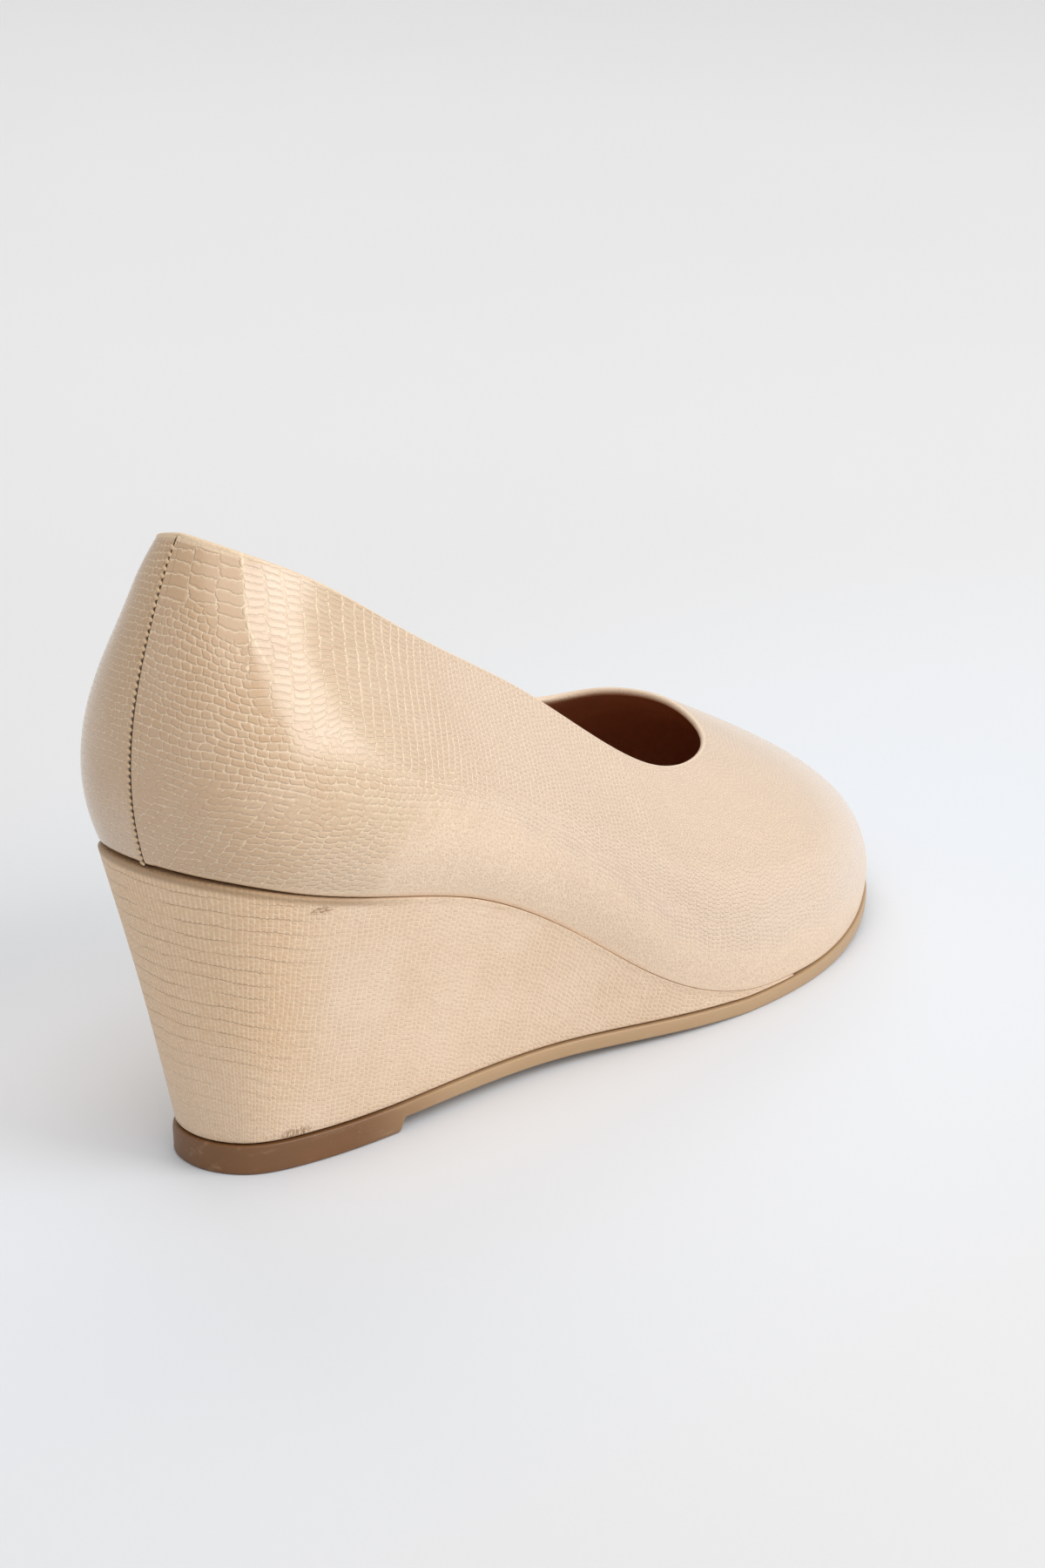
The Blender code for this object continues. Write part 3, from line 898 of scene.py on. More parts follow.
def leather_places():
    """Distances round the shoe, closer beside the seam and where the column width jumps."""
    total = WALL_FACE.length
    near = np.array([0.0, .0008, .0013, .0016, .0019, .0023, .0028, .0036, .0045])
    middle = np.linspace(.0055, total - .0055, 400)
    apart = np.abs(middle - 0.024) > 0.0004
    jump = np.array([.02360, .02397, .02403, .02440])
    middle = np.sort(np.concatenate([middle[apart], jump]))
    return np.concatenate([near, middle, total - near[::-1]])


def upper_grid(distance, sizes):
    """Cross-sections of the leather: tucked foot, wall, rolled edge, inner band."""
    shares = leather_levels()
    points, normal, _, height = WALL_FACE.column(distance, shares)
    climbed = shares[:, None] * height[None, :]
    moved = (soft_forms(distance[None, :], shares[:, None], height[None, :])
             - counter_crease(distance[None, :], shares[:, None]))
    from_back = np.minimum(distance, WALL_FACE.length - distance)
    under_seam = np.clip(1.0 - from_back / SEAM_WIDTH, 0.0, 1.0)[None, :]
    from_top = np.clip((1.0 - shares) / 0.03, 0.0, 1.0)[:, None]
    moved = moved - SEAM_HOLLOW * np.minimum(4.0 * under_seam, 1.0) * from_top
    tuck = np.interp(from_back, [0.0, 0.020, 0.036, 0.07], [.0017, .0012, .00028, .00012])
    moved = moved - rounded_in(climbed, tuck[None, :])
    points = points + normal * moved[..., None]
    rows = [points[0] - normal[0] * WALL + np.array([0, 0, .0001]), *points]
    steps = [np.zeros(len(distance)), *climbed]

    top_point, top_normal, top_up, height = WALL_FACE.column(distance, np.array([1.0]))
    top_point, top_normal, top_up = top_point[0], top_normal[0], top_up[0]
    top_point = top_point + top_normal * soft_forms(distance, 1.0, height)[:, None]
    radius = 0.5 * WALL
    centre = top_point - top_normal * radius - top_up * radius
    for angle in np.radians([8, 26, 46, 66, 86, 106, 128, 150, 172]):
        rows.append(centre + top_normal * radius * math.cos(angle)
                    + top_up * radius * math.sin(angle))
        steps.append(height - radius + radius * angle)
    for down in np.array([0.3, 0.6, 1.0]) * sizes.edge_turn:
        inward = -top_normal * (radius + 0.00003)
        rows.append(centre + inward - top_up * down)
        steps.append(height - radius + radius * math.pi + down)
    rows.append(rows[-1] + top_normal * 0.0006 - top_up * 0.0001)
    steps.append(steps[-1] + 0.0006)
    rows = np.array(rows)
    steps = np.array(steps)
    return rows, steps, height


def leather_attributes(distance, steps, height, points):
    """Numbers that the leather's material reads, at each point of its grid."""
    wide = np.broadcast_to(distance[None, :], steps.shape)
    moved = np.linalg.norm(np.gradient(points, axis=1), axis=-1)
    stretch = moved / np.abs(np.gradient(distance))[None, :]
    columns, scales, zones = emboss_places(wide, steps, height[None, :], stretch)
    below_edge = (height[None, :] - steps) * 1000.0 / table_value(BAND_WIDTHS, wide)
    place = np.stack([wide * 1000.0, steps * 1000.0, below_edge], axis=-1)
    return {"place": place.reshape(-1, 3), "columns": columns.reshape(-1, 3),
            "scales": scales.reshape(-1, 3), "zones": zones.reshape(-1, 3)}


def seam_points(sizes, length_steps):
    """Narrow strip over the back seam with a groove, stitch pits and puffed lips."""
    across = np.concatenate([np.linspace(-.0026, -.0012, 4),
                             np.linspace(-.0010, .0004, 29),
                             np.linspace(.0006, .0024, 7)])
    shares = np.linspace(0.004, 0.990, length_steps)
    points, normal, _, height = WALL_FACE.column(across, shares)
    climbed = shares[:, None] * height[None, :]
    # the profile across the seam is drawn in millimetres
    a = across[None, :] * 1000.0
    phase = climbed / sizes.stitch_pitch
    puff = np.abs(np.sin(math.pi * phase)) ** 0.7
    inner = np.exp(-((a + 0.42) / 0.34) ** 2)
    slot = 1.0 / (1.0 + np.exp(-(a + 0.66) / 0.05)) / (1.0 + np.exp((a + 0.03) / 0.03))
    lips = np.exp(-((a - 0.45) / 0.40) ** 2)
    moved = 0.10 * puff * inner * (1.0 - slot) - 0.42 * slot + 0.07 * lips
    moved = moved + 1000.0 * soft_forms(across[None, :], shares[:, None], height[None, :])
    from_end = np.minimum(climbed, (0.992 - shares)[:, None] * height[None, :])
    fade = np.clip(from_end / 0.0008, 0.0, 1.0)
    fade = fade * fade * (3.0 - 2.0 * fade)
    border = np.clip((0.0024 - np.abs(across)) / 0.0006, 0.0, 1.0)[None, :]
    tuck = rounded_in(climbed, 0.0015)
    lift = 0.001 * moved * fade * border + 0.00003 - 0.00005 * (1.0 - border) - tuck
    # painted shade: the sunken slot between the lips, with its stitch holes, is darkened
    slot_shade = slot * fade
    return points + normal * lift[..., None], across, climbed, height, slot_shade


def capsule(rings, sides):
    """Unit capsule along X, as points and faces."""
    points = []
    for i in range(rings):
        angle = math.pi * (i + 0.5) / rings
        reach = -math.cos(angle)
        thick = math.sin(angle) ** 0.6
        for k in range(sides):
            turn = 2.0 * math.pi * k / sides
            points.append((reach, thick * math.cos(turn), thick * math.sin(turn)))
    faces = grid_faces(rings, sides, closed=True)
    faces.append(tuple(range(sides))[::-1])
    faces.append(tuple(range((rings - 1) * sides, rings * sides)))
    return np.array(points), faces


def stitch_row(sizes, seam_height, line_height):
    """Slanting stitches up the back seam."""
    unit_points, unit_faces = capsule(7, 8)
    count = int(seam_height * 0.975 / sizes.stitch_pitch)
    shares = (np.arange(count) + 0.5) * sizes.stitch_pitch / line_height
    at, normal, up, _ = WALL_FACE.column(np.array([STITCH_LINE]), shares)
    forms = soft_forms(STITCH_LINE, shares, line_height)
    local = unit_points * np.array([0.5 * sizes.stitch_length, 0.5 * sizes.thread_width,
                                    0.32 * sizes.thread_width])
    points, faces = [], []
    for k in range(count):
        out = normal[k, 0]
        rise = up[k, 0]
        long_way = unit(0.88 * np.cross(rise, out) - 0.47 * rise)
        wide_way = np.cross(out, long_way)
        points.append(at[k, 0] + out * (0.00002 + forms[k]) + local[:, :1] * long_way
                      + local[:, 1:2] * wide_way + local[:, 2:3] * out)
        base = k * len(unit_points)
        faces += [tuple(base + i for i in face) for face in unit_faces]
    return np.vstack(points), faces


class ShoeUpperSizes(bpy.types.PropertyGroup):
    """Sizes and colours of the embossed leather."""

    edge_turn: bpy.props.FloatProperty(
        name="Turned edge", description="How far the leather turns down inside",
        default=0.0010, min=0.0, **LENGTH)
    emboss_depth: bpy.props.FloatProperty(
        name="Emboss depth", description="Depth of the grooves between the scales",
        default=0.00017, min=0.0, **LENGTH)
    scale_colour: bpy.props.FloatVectorProperty(
        name="Scale", description="Colour of most scales", default=(0.60, 0.435, 0.260),
        **PAINT)
    # the darker scales, and also the painted shade towards the back seam
    scale_shade: bpy.props.FloatVectorProperty(
        name="Darker scale", description="Colour of the darker scales",
        default=(0.540, 0.340, 0.182), **PAINT)
    groove_colour: bpy.props.FloatVectorProperty(
        name="Groove", description="Cream colour between the scales",
        default=(0.90, 0.735, 0.535), **PAINT)
    # the paler low side, and also the painted light towards the toe
    pale_colour: bpy.props.FloatVectorProperty(
        name="Pale stretch", description="Colour of the paler low side",
        default=(0.720, 0.542, 0.408), **PAINT)
    scale_roughness: bpy.props.FloatProperty(
        name="Scale roughness", description="Roughness on top of the scales", default=0.30,
        min=0.0, max=1.0)
    groove_roughness: bpy.props.FloatProperty(
        name="Groove roughness", description="Roughness between the scales", default=0.58,
        min=0.0, max=1.0)


class ShoeSeamSizes(bpy.types.PropertyGroup):
    """Sizes and colours of the back seam."""

    stitch_pitch: bpy.props.FloatProperty(
        name="Stitch pitch", description="Distance from one stitch to the next",
        default=0.00145, min=0.0005, **LENGTH)
    stitch_length: bpy.props.FloatProperty(
        name="Stitch length", description="Length of the thread that shows", default=0.00125,
        min=0.0002, **LENGTH)
    thread_width: bpy.props.FloatProperty(
        name="Thread width", description="Thickness of the thread", default=0.00090,
        min=0.0001, **LENGTH)
    thread_colour: bpy.props.FloatVectorProperty(
        name="Thread", description="Colour of the thread", default=(0.78, 0.58, 0.37),
        **PAINT)
    # painted shade between the strands
    thread_shade: bpy.props.FloatVectorProperty(
        name="Thread shade", description="Colour between the strands",
        default=(0.60, 0.40, 0.23), **PAINT)
    # painted shade inside the seam's slot and stitch holes
    hole_shade_colour: bpy.props.FloatVectorProperty(
        name="Stitch holes", description="Colour inside the stitch holes",
        default=(0.035, 0.016, 0.008), **PAINT)


class ShoeInsideSizes(bpy.types.PropertyGroup):
    """Sizes and colours of the lining and the sock."""

    lining_thickness: bpy.props.FloatProperty(
        name="Lining thickness", description="Thickness of the lining leather",
        default=0.0005, min=0.0001, **LENGTH)
    sock_crown: bpy.props.FloatProperty(
        name="Sock crown", description="How far the middle of the sock stands up",
        default=0.0006, min=0.0, **LENGTH)
    lining_colour: bpy.props.FloatVectorProperty(
        name="Lining", description="Colour of the lining", default=(0.42, 0.190, 0.100),
        **PAINT)
    lining_light: bpy.props.FloatVectorProperty(
        name="Rubbed lining", description="Colour where the lining is rubbed",
        default=(0.50, 0.240, 0.130), **PAINT)


class ShoeWedgeSizes(bpy.types.PropertyGroup):
    """Sizes and colours of the wedge cover."""

    lip_radius: bpy.props.FloatProperty(
        name="Lip radius", description="Rounding of the wedge's upper edge", default=0.0009,
        min=0.0001, **LENGTH)
    hollow: bpy.props.FloatProperty(
        name="Side hollow", description="How far the side curves in at half height",
        default=0.0006, min=0.0, **LENGTH)
    cover_depth: bpy.props.FloatProperty(
        name="Cover emboss depth", description="Depth of the embossing on the wedge",
        default=0.00010, min=0.0, **LENGTH)
    cover_colour: bpy.props.FloatVectorProperty(
        name="Cover", description="Colour of the cover", default=(0.705, 0.508, 0.349),
        **PAINT)
    cover_pale: bpy.props.FloatVectorProperty(
        name="Pale cover", description="Colour of its paler patches",
        default=(0.795, 0.62, 0.468), **PAINT)
    cover_rear: bpy.props.FloatVectorProperty(
        name="Rear cover", description="Warmer colour at the back of the heel",
        default=(0.71, 0.462, 0.258), **PAINT)
    cover_groove: bpy.props.FloatVectorProperty(
        name="Cover groove", description="Colour of the fine grooves",
        default=(0.86, 0.69, 0.50), **PAINT)
    line_colour: bpy.props.FloatVectorProperty(
        name="Serrated lines", description="Colour of the dark fine lines",
        default=(0.30, 0.17, 0.085), **PAINT)
    # dark pits of the grain, and also the painted shade along the lip under the upper
    pits_and_lip_shade: bpy.props.FloatVectorProperty(
        name="Lip", description="Colour of the edge under the upper",
        default=(0.36, 0.225, 0.12), **PAINT)


class ShoeSoleSizes(bpy.types.PropertyGroup):
    """Sizes and colours of the outsole."""

    edge_radius: bpy.props.FloatProperty(
        name="Edge radius", description="Rounding of the outsole's lower edge",
        default=0.0007, min=0.0001, **LENGTH)
    sole_colour: bpy.props.FloatVectorProperty(
        name="Outsole", description="Colour of the outsole", default=(0.192, 0.079, 0.023),
        **PAINT)
    # darker patches, and also the painted shade towards the outsole's underside
    sole_shade: bpy.props.FloatVectorProperty(
        name="Outsole shade", description="Colour of its darker patches",
        default=(0.146, 0.069, 0.026), **PAINT)
    sole_pale: bpy.props.FloatVectorProperty(
        name="Outsole flecks", description="Colour of pale streaks and flecks",
        default=(0.50, 0.338, 0.188), **PAINT)


class ShoeStageSizes(bpy.types.PropertyGroup):
    """Floor, lights and camera."""

    floor_colour: bpy.props.FloatVectorProperty(
        name="Floor", description="Colour of the floor", default=(0.705, 0.705, 0.705),
        **PAINT)
    floor_near: bpy.props.FloatVectorProperty(
        name="Floor by the shoe", description="Colour of the floor round the shoe, a "
        "trace cooler against the warm light that the leather throws on it",
        default=(0.717, 0.741, 0.774), **PAINT)
    floor_shadow: bpy.props.FloatVectorProperty(
        name="Floor in shadow",
        description="Colour of the floor where the shoe's shadow "
        "falls, paler so that the shadow stays faint",
        default=(0.850, 0.860, 0.878), **PAINT)
    sky_strength: bpy.props.FloatProperty(
        name="Surround", description="Strength of the light from all round", default=0.57,
        min=0.0)
    key_power: bpy.props.FloatProperty(
        name="Key light", description="Power of the soft light beside the heel", default=8.2,
        min=0.0, subtype="POWER", unit="POWER")
    rim_power: bpy.props.FloatProperty(
        name="Rim light", description="Power of the soft light behind the shoe", default=3.0,
        min=0.0, subtype="POWER", unit="POWER")
    top_strength: bpy.props.FloatProperty(
        name="Top light", description="Strength of the even light from above", default=1.0,
        min=0.0)
    lens: bpy.props.FloatProperty(
        name="Lens", description="Focal length of the camera", default=111.1, min=1.0,
        subtype="DISTANCE_CAMERA", unit="CAMERA")


class WEDGE_SHOE_OT_upper(bpy.types.Operator):
    """Make the leather upper with its rolled topline"""

    bl_idname = "wedge_shoe.upper"
    bl_label = "Upper"

    def execute(self, context):
        sizes = context.scene.shoe_upper
        distance = leather_places()
        rows, steps, height = upper_grid(distance, sizes)
        levels, places = rows.shape[:2]
        points = rows.reshape(-1, 3)
        piece = add_piece("upper_leather", points, grid_faces(levels, places),
                          upper_leather(sizes),
                          leather_attributes(distance, steps, height, rows), 80.0)
        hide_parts("upper")
        return {"FINISHED"}


class WEDGE_SHOE_OT_seam(bpy.types.Operator):
    """Make the back seam with its stitch holes and thread"""

    bl_idname = "wedge_shoe.seam"
    bl_label = "Back seam"

    def execute(self, context):
        sizes = context.scene.shoe_seam
        points, across, climbed, height, slot_shade = seam_points(sizes, 420)
        distance = np.where(across < 0.0, across + WALL_FACE.length, across)
        distance = np.where(np.abs(across) < 0.00001, 0.0, distance)
        attributes = leather_attributes(distance, climbed, height, points)
        # painted shade of the seam's slot, for its material
        attributes["seam"] = np.repeat(slot_shade.reshape(-1, 1), 3, axis=1)
        add_piece("back_seam", points.reshape(-1, 3), grid_faces(*points.shape[:2]),
                  seam_leather(sizes), attributes, 80.0)
        middle = int(np.argmin(np.abs(across)))
        points, faces = stitch_row(sizes, height[len(height) // 2], height[middle])
        add_piece("seam_stitches", points, faces, thread_material(sizes), None, 180.0)
        return {"FINISHED"}


class WEDGE_SHOE_OT_lining(bpy.types.Operator):
    """Make the brown lining inside the upper"""

    bl_idname = "wedge_shoe.lining"
    bl_label = "Lining"

    def execute(self, context):
        sizes = context.scene.shoe_inside
        upper = context.scene.shoe_upper
        total = WALL_FACE.length
        distance = np.linspace(0.0, total, 301)[:-1]
        shares = np.linspace(0.0, 1.0, 44)
        points, normal, _, height = WALL_FACE.column(distance, shares)
        turn = 2.0 * math.pi * distance / total
        wander = 0.00018 * (np.sin(8.0 * turn) + np.sin(19.0 * turn + 1.0)
                            + 0.6 * np.sin(43.0 * turn + 2.0))
        reach = (height - 0.5 * WALL - upper.edge_turn + LINING_OVERLAP + wander) / height
        rows = np.empty_like(points)
        for i in range(len(distance)):
            wanted = shares * reach[i]
            for k in range(3):
                rows[:, i, k] = np.interp(wanted, shares, points[:, i, k])
        moved = soft_forms(distance[None, :], shares[:, None], height[None, :])
        rows = rows + normal * (0.5 * moved - WALL + sizes.lining_thickness)[..., None]
        piece = add_piece("lining", rows.reshape(-1, 3),
                          grid_faces(*rows.shape[:2], closed=True),
                          lining_leather("lining_leather", sizes, LINING_GRAIN), None,
                          80.0)
        thick = piece.modifiers.new("thickness", "SOLIDIFY")
        thick.thickness = sizes.lining_thickness
        thick.offset = -1.0
        return {"FINISHED"}


def sock_rings():
    """Rings of the insole with its sock, from its underside to its rounded upper edge."""
    t = np.arange(240) / 240
    foot, _, other, _, side, _ = shoe_lines(t)
    flare = np.radians(other[:, 0])[:, None]
    low = foot - side * (WALL / np.cos(flare) + INSOLE_GAP)
    wall = wall_points(t, 11)
    climb = wall[1] - wall[0]
    high = low + climb * (INSOLE_THICKNESS / climb[:, 2:3])
    rings = [low, low + (high - low) * 0.6]
    for angle in np.radians([20, 45, 70]):
        edge = low + (high - low) * (0.6 + 0.4 * math.sin(angle))
        rings.append(edge - side * 0.001 * (1.0 - math.cos(angle)))
    return rings


class WEDGE_SHOE_OT_sock(bpy.types.Operator):
    """Make the sock on the insole board"""

    bl_idname = "wedge_shoe.sock"
    bl_label = "Sock"

    def execute(self, context):
        sizes = context.scene.shoe_inside
        points = sock_rings()
        levels, count = len(points), len(points[0])
        half = count // 2
        faces = grid_faces(levels, count, closed=True)
        across = 14
        rounded = 1.0 - (2.0 * np.arange(1, across) / across - 1.0) ** 4
        for base, crown in ((0, 0.0), ((levels - 1) * count, sizes.sock_crown)):
            ring = points[base // count]
            pairs = [(base + i, base + count - i) for i in range(1, half)]
            rows = fill_across(points, faces, pairs, across)
            for i, line in enumerate(points[-len(rows):], 1):
                wide = np.linalg.norm(ring[count - i] - ring[i]) / 0.05
                line[:, 2] += crown * min(wide, 1.0) * rounded
            faces += fan(base, rows[0]) + fan(base + half, rows[-1])
        piece = add_piece("sock", np.vstack(points), faces,
                          lining_leather("sock_leather", sizes, SOCK_GRAIN), None,
                          60.0)
        tidy_normals(piece)
        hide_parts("insole")
        return {"FINISHED"}


def wedge_edges():
    """Both edges of the wedge with the way out of it, from its inner tip to its outer tip."""
    count = 720
    t = np.arange(count) / count
    foot, _, other, rise, side, _ = shoe_lines(t)
    thinner = np.minimum(rise, np.roll(rise[::-1], 1))
    tip = int(np.argmax(thinner[1:] < WEDGE_TIP))
    last = int(np.argmax(thinner[1:] < COVER_TIP))
    lip = SEAT_LIP * np.clip(2.5 * rise / SEAT_HEIGHT, 0.0, 1.0)[:, None]
    high = foot + side * lip
    around = np.minimum(np.arange(count), count - np.arange(count)) / tip
    high[:, 2] -= np.interp(around, [0.0, 0.15, 0.28, 1.0],
                            [MEET_GAP, MEET_GAP, 0.00005, 0.00003])
    low = foot - side * other[:, 4:5] * SEAT_HEIGHT
    low[:, 2] = sole_top(low[:, 0]) + MEET_GAP
    keep = np.arange(-last, last + 1)
    return high[keep], low[keep], side[keep], np.abs(keep) / tip


def wedge_rings(sizes):
    """Rows of points up the wedge's side, how far each has climbed, and the full climb."""
    high, low, side, from_heel = wedge_edges()
    tall = (high - low)[:, 2:3]
    lip_radius = sizes.lip_radius * np.interp(from_heel, [0.0, .18, .32, 1.0],
                                              [1.1, 0.9, 0.25, 0.15])[:, None]
    radius = np.minimum(lip_radius, 0.35 * tall)
    base_radius = np.minimum(COVER_BASE_RADIUS, 0.2 * tall)
    hollow = sizes.hollow * np.minimum(tall / SEAT_HEIGHT, 1.0)
    run = high - low
    length = np.linalg.norm(run, axis=1)[:, None]
    rings = [low - side * COVER_TURN_LOW, low - side * base_radius]
    climbed = [0.0 * length, 0.0 * length]
    for angle in np.radians([30, 60, 90]):
        up = base_radius * (1.0 - math.cos(angle)) / length
        rings.append(low + run * up - side * base_radius * (1.0 - math.sin(angle)))
        climbed.append(up * length)
    begin = base_radius / length
    end = 1.0 - radius / length
    for share in np.linspace(0.0, 1.0, 42)[1:-1]:
        at = begin + (end - begin) * share
        curve = math.sin(math.pi * share) ** 1.2
        rings.append(low + run * at - side * hollow * curve)
        climbed.append(at * length)
    for angle in np.radians([0, 18, 36, 54, 72, 90]):
        at = end + (radius / length) * math.sin(angle)
        rings.append(low + run * at - side * radius * (1.0 - math.cos(angle)))
        climbed.append(at * length)
    rings.append(rings[-1] - side * COVER_TURN_HIGH)
    climbed.append(climbed[-1] + COVER_TURN_HIGH)
    return np.array(rings), np.array(climbed)[..., 0], length[:, 0]


def cover_attributes(rings, climbed, length, spare):
    """Numbers that the cover's material reads, with blanks for the points inside."""
    levels, path = rings.shape[:2]
    steps = np.linalg.norm(np.diff(rings[levels // 2], axis=0), axis=1)
    distance = np.concatenate([[0.0], np.cumsum(steps)])
    distance -= distance[path // 2]
    wide = np.broadcast_to(distance[None, :], climbed.shape)
    from_heel = np.abs(wide)
    below = length[None, :] - climbed
    sag = 0.0010 * np.clip(from_heel / 0.03, 0.0, 1.6) ** 2
    columns = np.stack([counted(RIB_WIDTHS, from_heel) * np.sign(wide),
                        (below + sag) * 1000.0 / LINE_PITCH,
                        table_value(RIB_WIDTHS, from_heel)], axis=-1)
    rear = 1.0 - np.clip((from_heel - 0.022) / 0.014, 0.0, 1.0)
    fade = np.clip((0.066 - below) / 0.03, 0.25, 1.0)
    at_heel = np.clip((0.055 - from_heel) / 0.02, 0.15, 1.0)
    zones = np.stack([rear * fade, at_heel, 0.0 * wide], axis=-1)
    place = np.stack([wide * 1000.0, climbed * 1000.0, below * 1000.0], axis=-1)
    return {name: np.vstack([values.reshape(-1, 3), np.zeros((spare, 3))])
            for name, values in (("place", place), ("columns", columns), ("zones", zones))}


class WEDGE_SHOE_OT_wedge(bpy.types.Operator):
    """Make the leather-covered wedge"""

    bl_idname = "wedge_shoe.wedge"
    bl_label = "Wedge cover"

    def execute(self, context):
        sizes = context.scene.shoe_wedge
        rings, climbed, length = wedge_rings(sizes)
        levels, path = rings.shape[:2]
        points = list(rings)
        faces = grid_faces(levels, path)
        tips = []
        for level in (0, levels - 1):
            heel = level * path + path // 2
            pairs = [(heel + i, heel - i) for i in range(1, path // 2 + 1)]
            rows = fill_across(points, faces, pairs, 10)
            faces += fan(heel, rows[0])
            tips.append(rows[-1])
        outer = [k * path + path - 1 for k in range(1, levels - 1)]
        inner = [k * path for k in range(1, levels - 1)]
        faces.append(tuple(tips[0] + inner + tips[1][::-1] + outer[::-1]))
        points = np.vstack(points)
        attributes = cover_attributes(rings, climbed, length, len(points) - levels * path)
        piece = add_piece("wedge_cover", points, faces, cover_leather(sizes), attributes,
                          50.0)
        tidy_normals(piece)
        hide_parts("wedge")
        return {"FINISHED"}


def sole_edge():
    """Edge of the outsole as a ring from the heel, with the way out of it."""
    foot, _, other, _, side, _ = shoe_lines(np.arange(1440) / 1440)
    edge = foot + side * (SOLE_LEDGE - other[:, 4:5] * SEAT_HEIGHT)
    edge = np.roll(edge, -int(edge[:, 0].argmin()), 0)
    turn = int(edge[:, 0].argmax())
    outer = edge[:turn + 1]
    inner = np.vstack([edge[turn:], edge[:1]])[::-1]
    back, nose = edge[0], edge[turn]
    spread = back[0] + (nose[0] - back[0]) * 0.5 * (
        1.0 - np.cos(np.linspace(0.0, math.pi, 220)[1:-1]))
    step = lift_front() + STEP_LENGTH * np.linspace(-0.3, 1.3, 17)
    apart = np.abs(spread[:, None] - step).min(axis=1) > 0.0004
    places = np.sort(np.concatenate([spread[apart], step]))
    outer_y = np.interp(places, outer[:, 0], outer[:, 1])
    inner_y = np.interp(places, inner[:, 0], inner[:, 1])
    ring = np.vstack([
        [[back[0], back[1], 0.0]],
        np.stack([places, outer_y, 0.0 * places], axis=1),
        [[nose[0], nose[1], 0.0]],
        np.stack([places, inner_y, 0.0 * places], axis=1)[::-1],
    ])
    run = np.roll(ring, -1, 0) - np.roll(ring, 1, 0)
    return ring, unit(np.stack([run[:, 1], -run[:, 0], 0.0 * run[:, 0]], axis=1))


def sole_rings(radius):
    """Rings of the outsole from its underside to its top, rounded at both edges."""
    ring, out = sole_edge()
    upper_radius = 0.00035
    profile = []
    for angle in np.radians([0, 22, 45, 68, 90]):
        profile.append((radius * (1.0 - math.sin(angle)), soft_step,
                        radius * (1.0 - math.cos(angle))))
    profile += [(0.0, soft_step, 0.0014), (-0.00012, sole_top, -0.0013)]
    for angle in np.radians([0, 30, 60, 90]):
        profile.append((upper_radius * (1.0 - math.cos(angle)), sole_top,
                        -upper_radius * (1.0 - math.sin(angle))))
    profile.append((0.0012, sole_top, 0.0))
    rings = []
    for inset, face, lift in profile:
        made = ring - out * inset
        made[:, 2] = face(made[:, 0]) + lift
        rings.append(made)
    return rings


class WEDGE_SHOE_OT_outsole(bpy.types.Operator):
    """Make the moulded outsole"""

    bl_idname = "wedge_shoe.outsole"
    bl_label = "Outsole"

    def execute(self, context):
        sizes = context.scene.shoe_sole
        points = sole_rings(sizes.edge_radius)
        levels, count = len(points), len(points[0])
        half = count // 2
        faces = grid_faces(levels, count, closed=True)
        for base, face in ((0, soft_step), ((levels - 1) * count, sole_top)):
            pairs = [(base + i, base + count - i) for i in range(1, half)]
            rows = fill_across(points, faces, pairs, 8)
            for line in points[-len(rows):]:
                line[:, 2] = face(line[:, 0])
            faces += fan(base, rows[0]) + fan(base + half, rows[-1])
        piece = add_piece("outsole_unit", np.vstack(points), faces, sole_rubber(sizes),
                          None, 50.0)
        tidy_normals(piece)
        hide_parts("outsole")
        return {"FINISHED"}


def floor_paint(sizes):
    """Pale matt floor, painted a trace cooler by the shoe against its warm bounced light, and
    painted paler where its shadow falls.
    """
    material, tree, shader = blank_material("studio_floor")
    place = object_place(tree)
    cloud = noise(tree, place, 0.004, 3.0)
    shade = tuple(0.985 * value for value in sizes.floor_colour)
    colour = mixed(tree, ramp(tree, cloud, 0.3, 0.7), sizes.floor_colour, shade)
    for (spot, near, far), paint in zip(FLOOR_TINTS, (sizes.floor_near, sizes.floor_shadow)):
        reach = far_from(tree, place, spot, TINT_SPREAD)
        colour = mixed(tree, ramp(tree, reach, near, far, 1.0, 0.0), colour, paint)
    shader.inputs["Specular IOR Level"].default_value = 0.2
    grain = bumped(tree, noise(tree, place, 0.5, 3.0), FLOOR_GRAIN)
    dress(tree, shader, colour, 0.85, grain)
    return material


def floor_mesh():
    """Floor that runs back and turns up behind the shoe in one sweep."""
    ahead = Vector(FLOOR_RUN).normalized()
    aside = Vector((ahead.y, -ahead.x, 0.0))
    profile = [(-3.0, 0.0), (-1.0, 0.0), (0.6, 0.0), (1.6, 0.0), (2.4, 0.0)]
    for angle in np.radians(np.linspace(0.0, 90.0, 19)):
        profile.append((2.6 + 1.0 * math.sin(angle), 1.0 - math.cos(angle)))
    profile += [(3.6, 2.0), (3.6, 4.0)]
    points = []
    for reach, height in profile:
        for k in np.linspace(-3.5, 3.5, 9):
            spot = ahead * reach + aside * k
            points.append((spot.x, spot.y, height))
    mesh = bpy.data.meshes.new("studio_floor")
    mesh.from_pydata(points, [], grid_faces(len(profile), 9))
    mesh.shade_smooth()
    return mesh


def placed(name, data, place, way, front):
    """Lamp or camera at a place, turned so that its own front or back faces a way."""
    made = bpy.data.objects.new(name, data)
    made.location = place
    made.rotation_mode = "QUATERNION"
    made.rotation_quaternion = way.to_track_quat(front, "Y")
    bpy.context.scene.collection.objects.link(made)
    return made


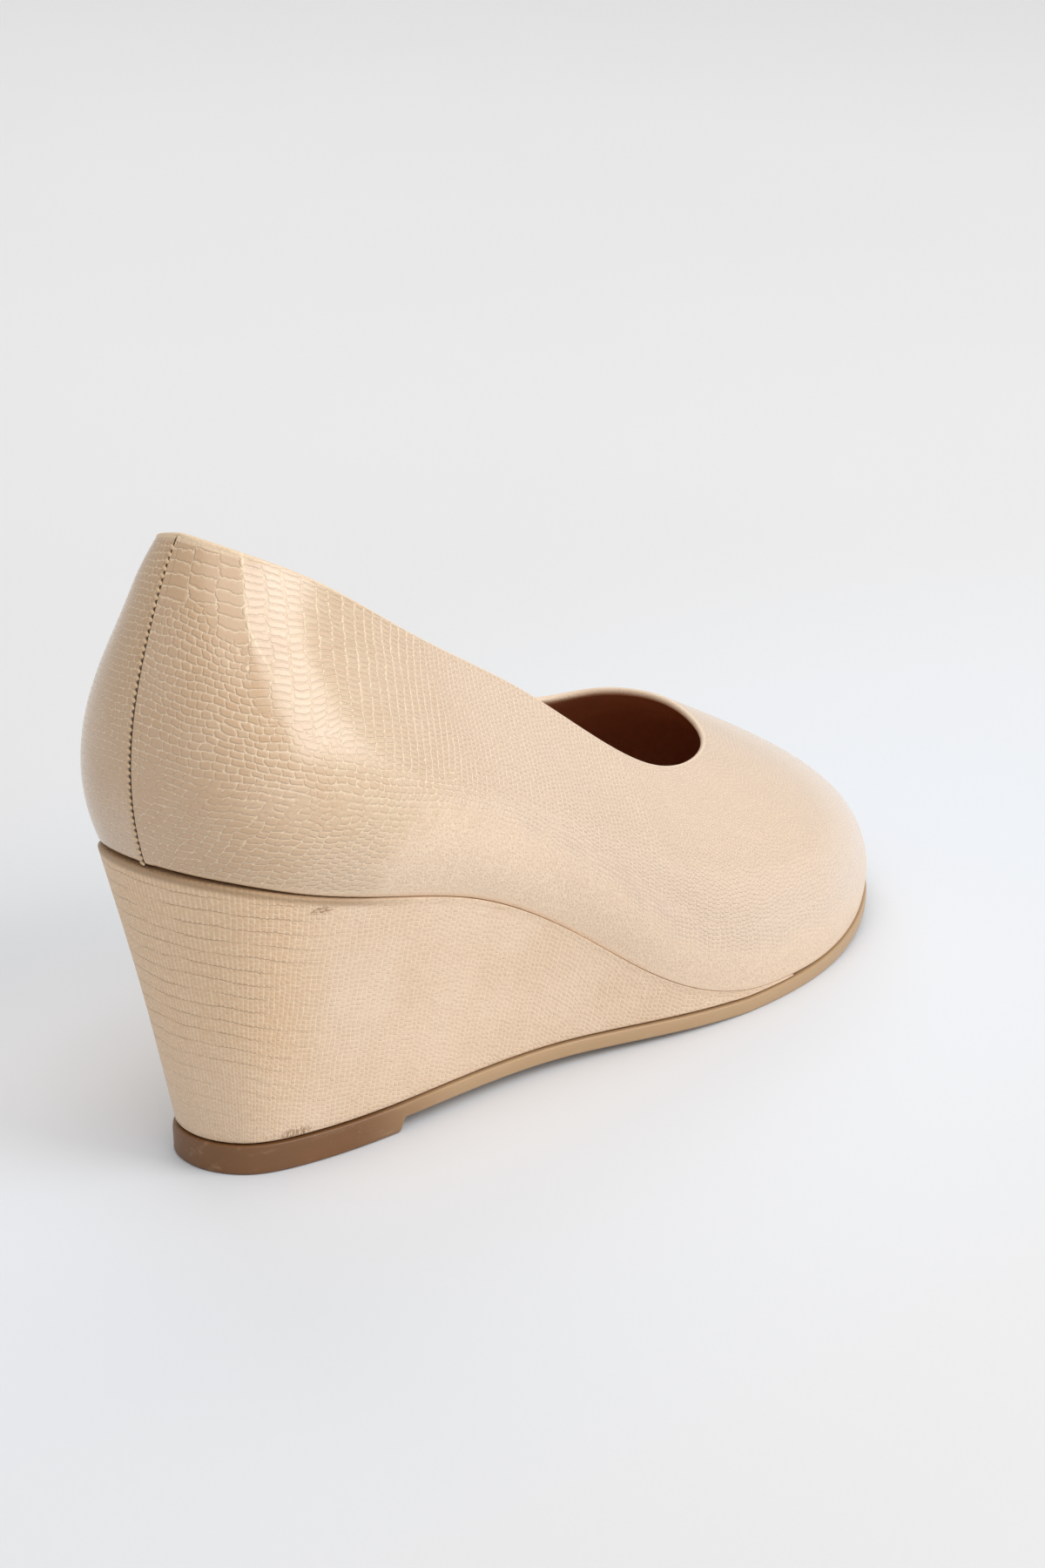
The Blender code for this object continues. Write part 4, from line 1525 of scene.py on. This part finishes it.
class WEDGE_SHOE_OT_stage(bpy.types.Operator):
    """Make the floor, the soft lights and the camera"""

    bl_idname = "wedge_shoe.stage"
    bl_label = "Stage"

    def execute(self, context):
        sizes = context.scene.shoe_stage
        scene = context.scene
        scene.view_settings.view_transform = "Standard"
        mesh = floor_mesh()
        mesh.materials.append(floor_paint(sizes))
        floor = bpy.data.objects.new("studio_floor", mesh)
        scene.collection.objects.link(floor)

        world = bpy.data.worlds.new("studio")
        world.use_nodes = True
        back = world.node_tree.nodes["Background"]
        back.inputs["Color"].default_value = (1.0, 1.0, 1.0, 1.0)
        back.inputs["Strength"].default_value = sizes.sky_strength
        scene.world = world

        powers = (sizes.key_power, sizes.rim_power)
        for (name, direction, reach, wide, tall), power in zip(LAMPS, powers):
            data = bpy.data.lights.new(name, "AREA")
            data.shape = "RECTANGLE"
            data.size = wide
            data.size_y = tall
            data.energy = power
            way = Vector(direction).normalized()
            placed(name, data, Vector(LAMP_AIM) + way * reach, way, "Z")
        data = bpy.data.lights.new("top_light", "SUN")
        data.energy = sizes.top_strength
        data.angle = math.radians(70.0)
        placed("top_light", data, (0.0, 0.0, 0.0), Vector(SUN_DIRECTION), "Z")

        data = bpy.data.cameras.new("camera")
        data.lens = sizes.lens
        data.sensor_width = 36.0
        data.sensor_fit = "AUTO"
        data.dof.use_dof = False
        data.clip_start = 0.05
        data.clip_end = 20.0
        way = Vector(CAMERA_AIM) - Vector(CAMERA_PLACE)
        scene.camera = placed("camera", data, CAMERA_PLACE, way, "-Z")
        return {"FINISHED"}


class WEDGE_SHOE_PT_sidebar(bpy.types.Panel):
    """Sizes and colours of the shoe, with a button for each of its pieces"""

    bl_idname = "WEDGE_SHOE_PT_sidebar"
    bl_label = "Wedge shoe"
    bl_space_type = "VIEW_3D"
    bl_region_type = "UI"
    bl_category = "Wedge shoe"

    def draw(self, context):
        for name, group, operators in STEPS:
            box = self.layout.box()
            for key in group.__annotations__:
                box.prop(getattr(context.scene, name), key)
            for operator in operators:
                box.operator(operator)


# each group's name in the scene, its sizes and colours, and what it makes
STEPS = (
    ("shoe_upper", ShoeUpperSizes, ("wedge_shoe.upper",)),
    ("shoe_seam", ShoeSeamSizes, ("wedge_shoe.seam",)),
    ("shoe_inside", ShoeInsideSizes, ("wedge_shoe.lining", "wedge_shoe.sock")),
    ("shoe_wedge", ShoeWedgeSizes, ("wedge_shoe.wedge",)),
    ("shoe_sole", ShoeSoleSizes, ("wedge_shoe.outsole",)),
    ("shoe_stage", ShoeStageSizes, ("wedge_shoe.stage",)),
)
CLASSES = (*(group for _, group, _ in STEPS), WEDGE_SHOE_OT_upper, WEDGE_SHOE_OT_seam,
           WEDGE_SHOE_OT_lining, WEDGE_SHOE_OT_sock, WEDGE_SHOE_OT_wedge,
           WEDGE_SHOE_OT_outsole, WEDGE_SHOE_OT_stage, WEDGE_SHOE_PT_sidebar)


def register():
    """Add the classes and their settings to Blender."""
    for made in CLASSES:
        bpy.utils.register_class(made)
    for name, group, _ in STEPS:
        setattr(bpy.types.Scene, name, bpy.props.PointerProperty(type=group))


def unregister():
    """Take the settings and classes out again."""
    for name, _, _ in STEPS:
        delattr(bpy.types.Scene, name)
    for made in reversed(CLASSES):
        bpy.utils.unregister_class(made)


def main():
    """Build the whole shoe."""
    register()
    bpy.ops.wedge_shoe.upper()
    bpy.ops.wedge_shoe.seam()
    bpy.ops.wedge_shoe.lining()
    bpy.ops.wedge_shoe.sock()
    bpy.ops.wedge_shoe.wedge()
    bpy.ops.wedge_shoe.outsole()
    bpy.ops.wedge_shoe.stage()


if __name__ == "__main__":
    main()
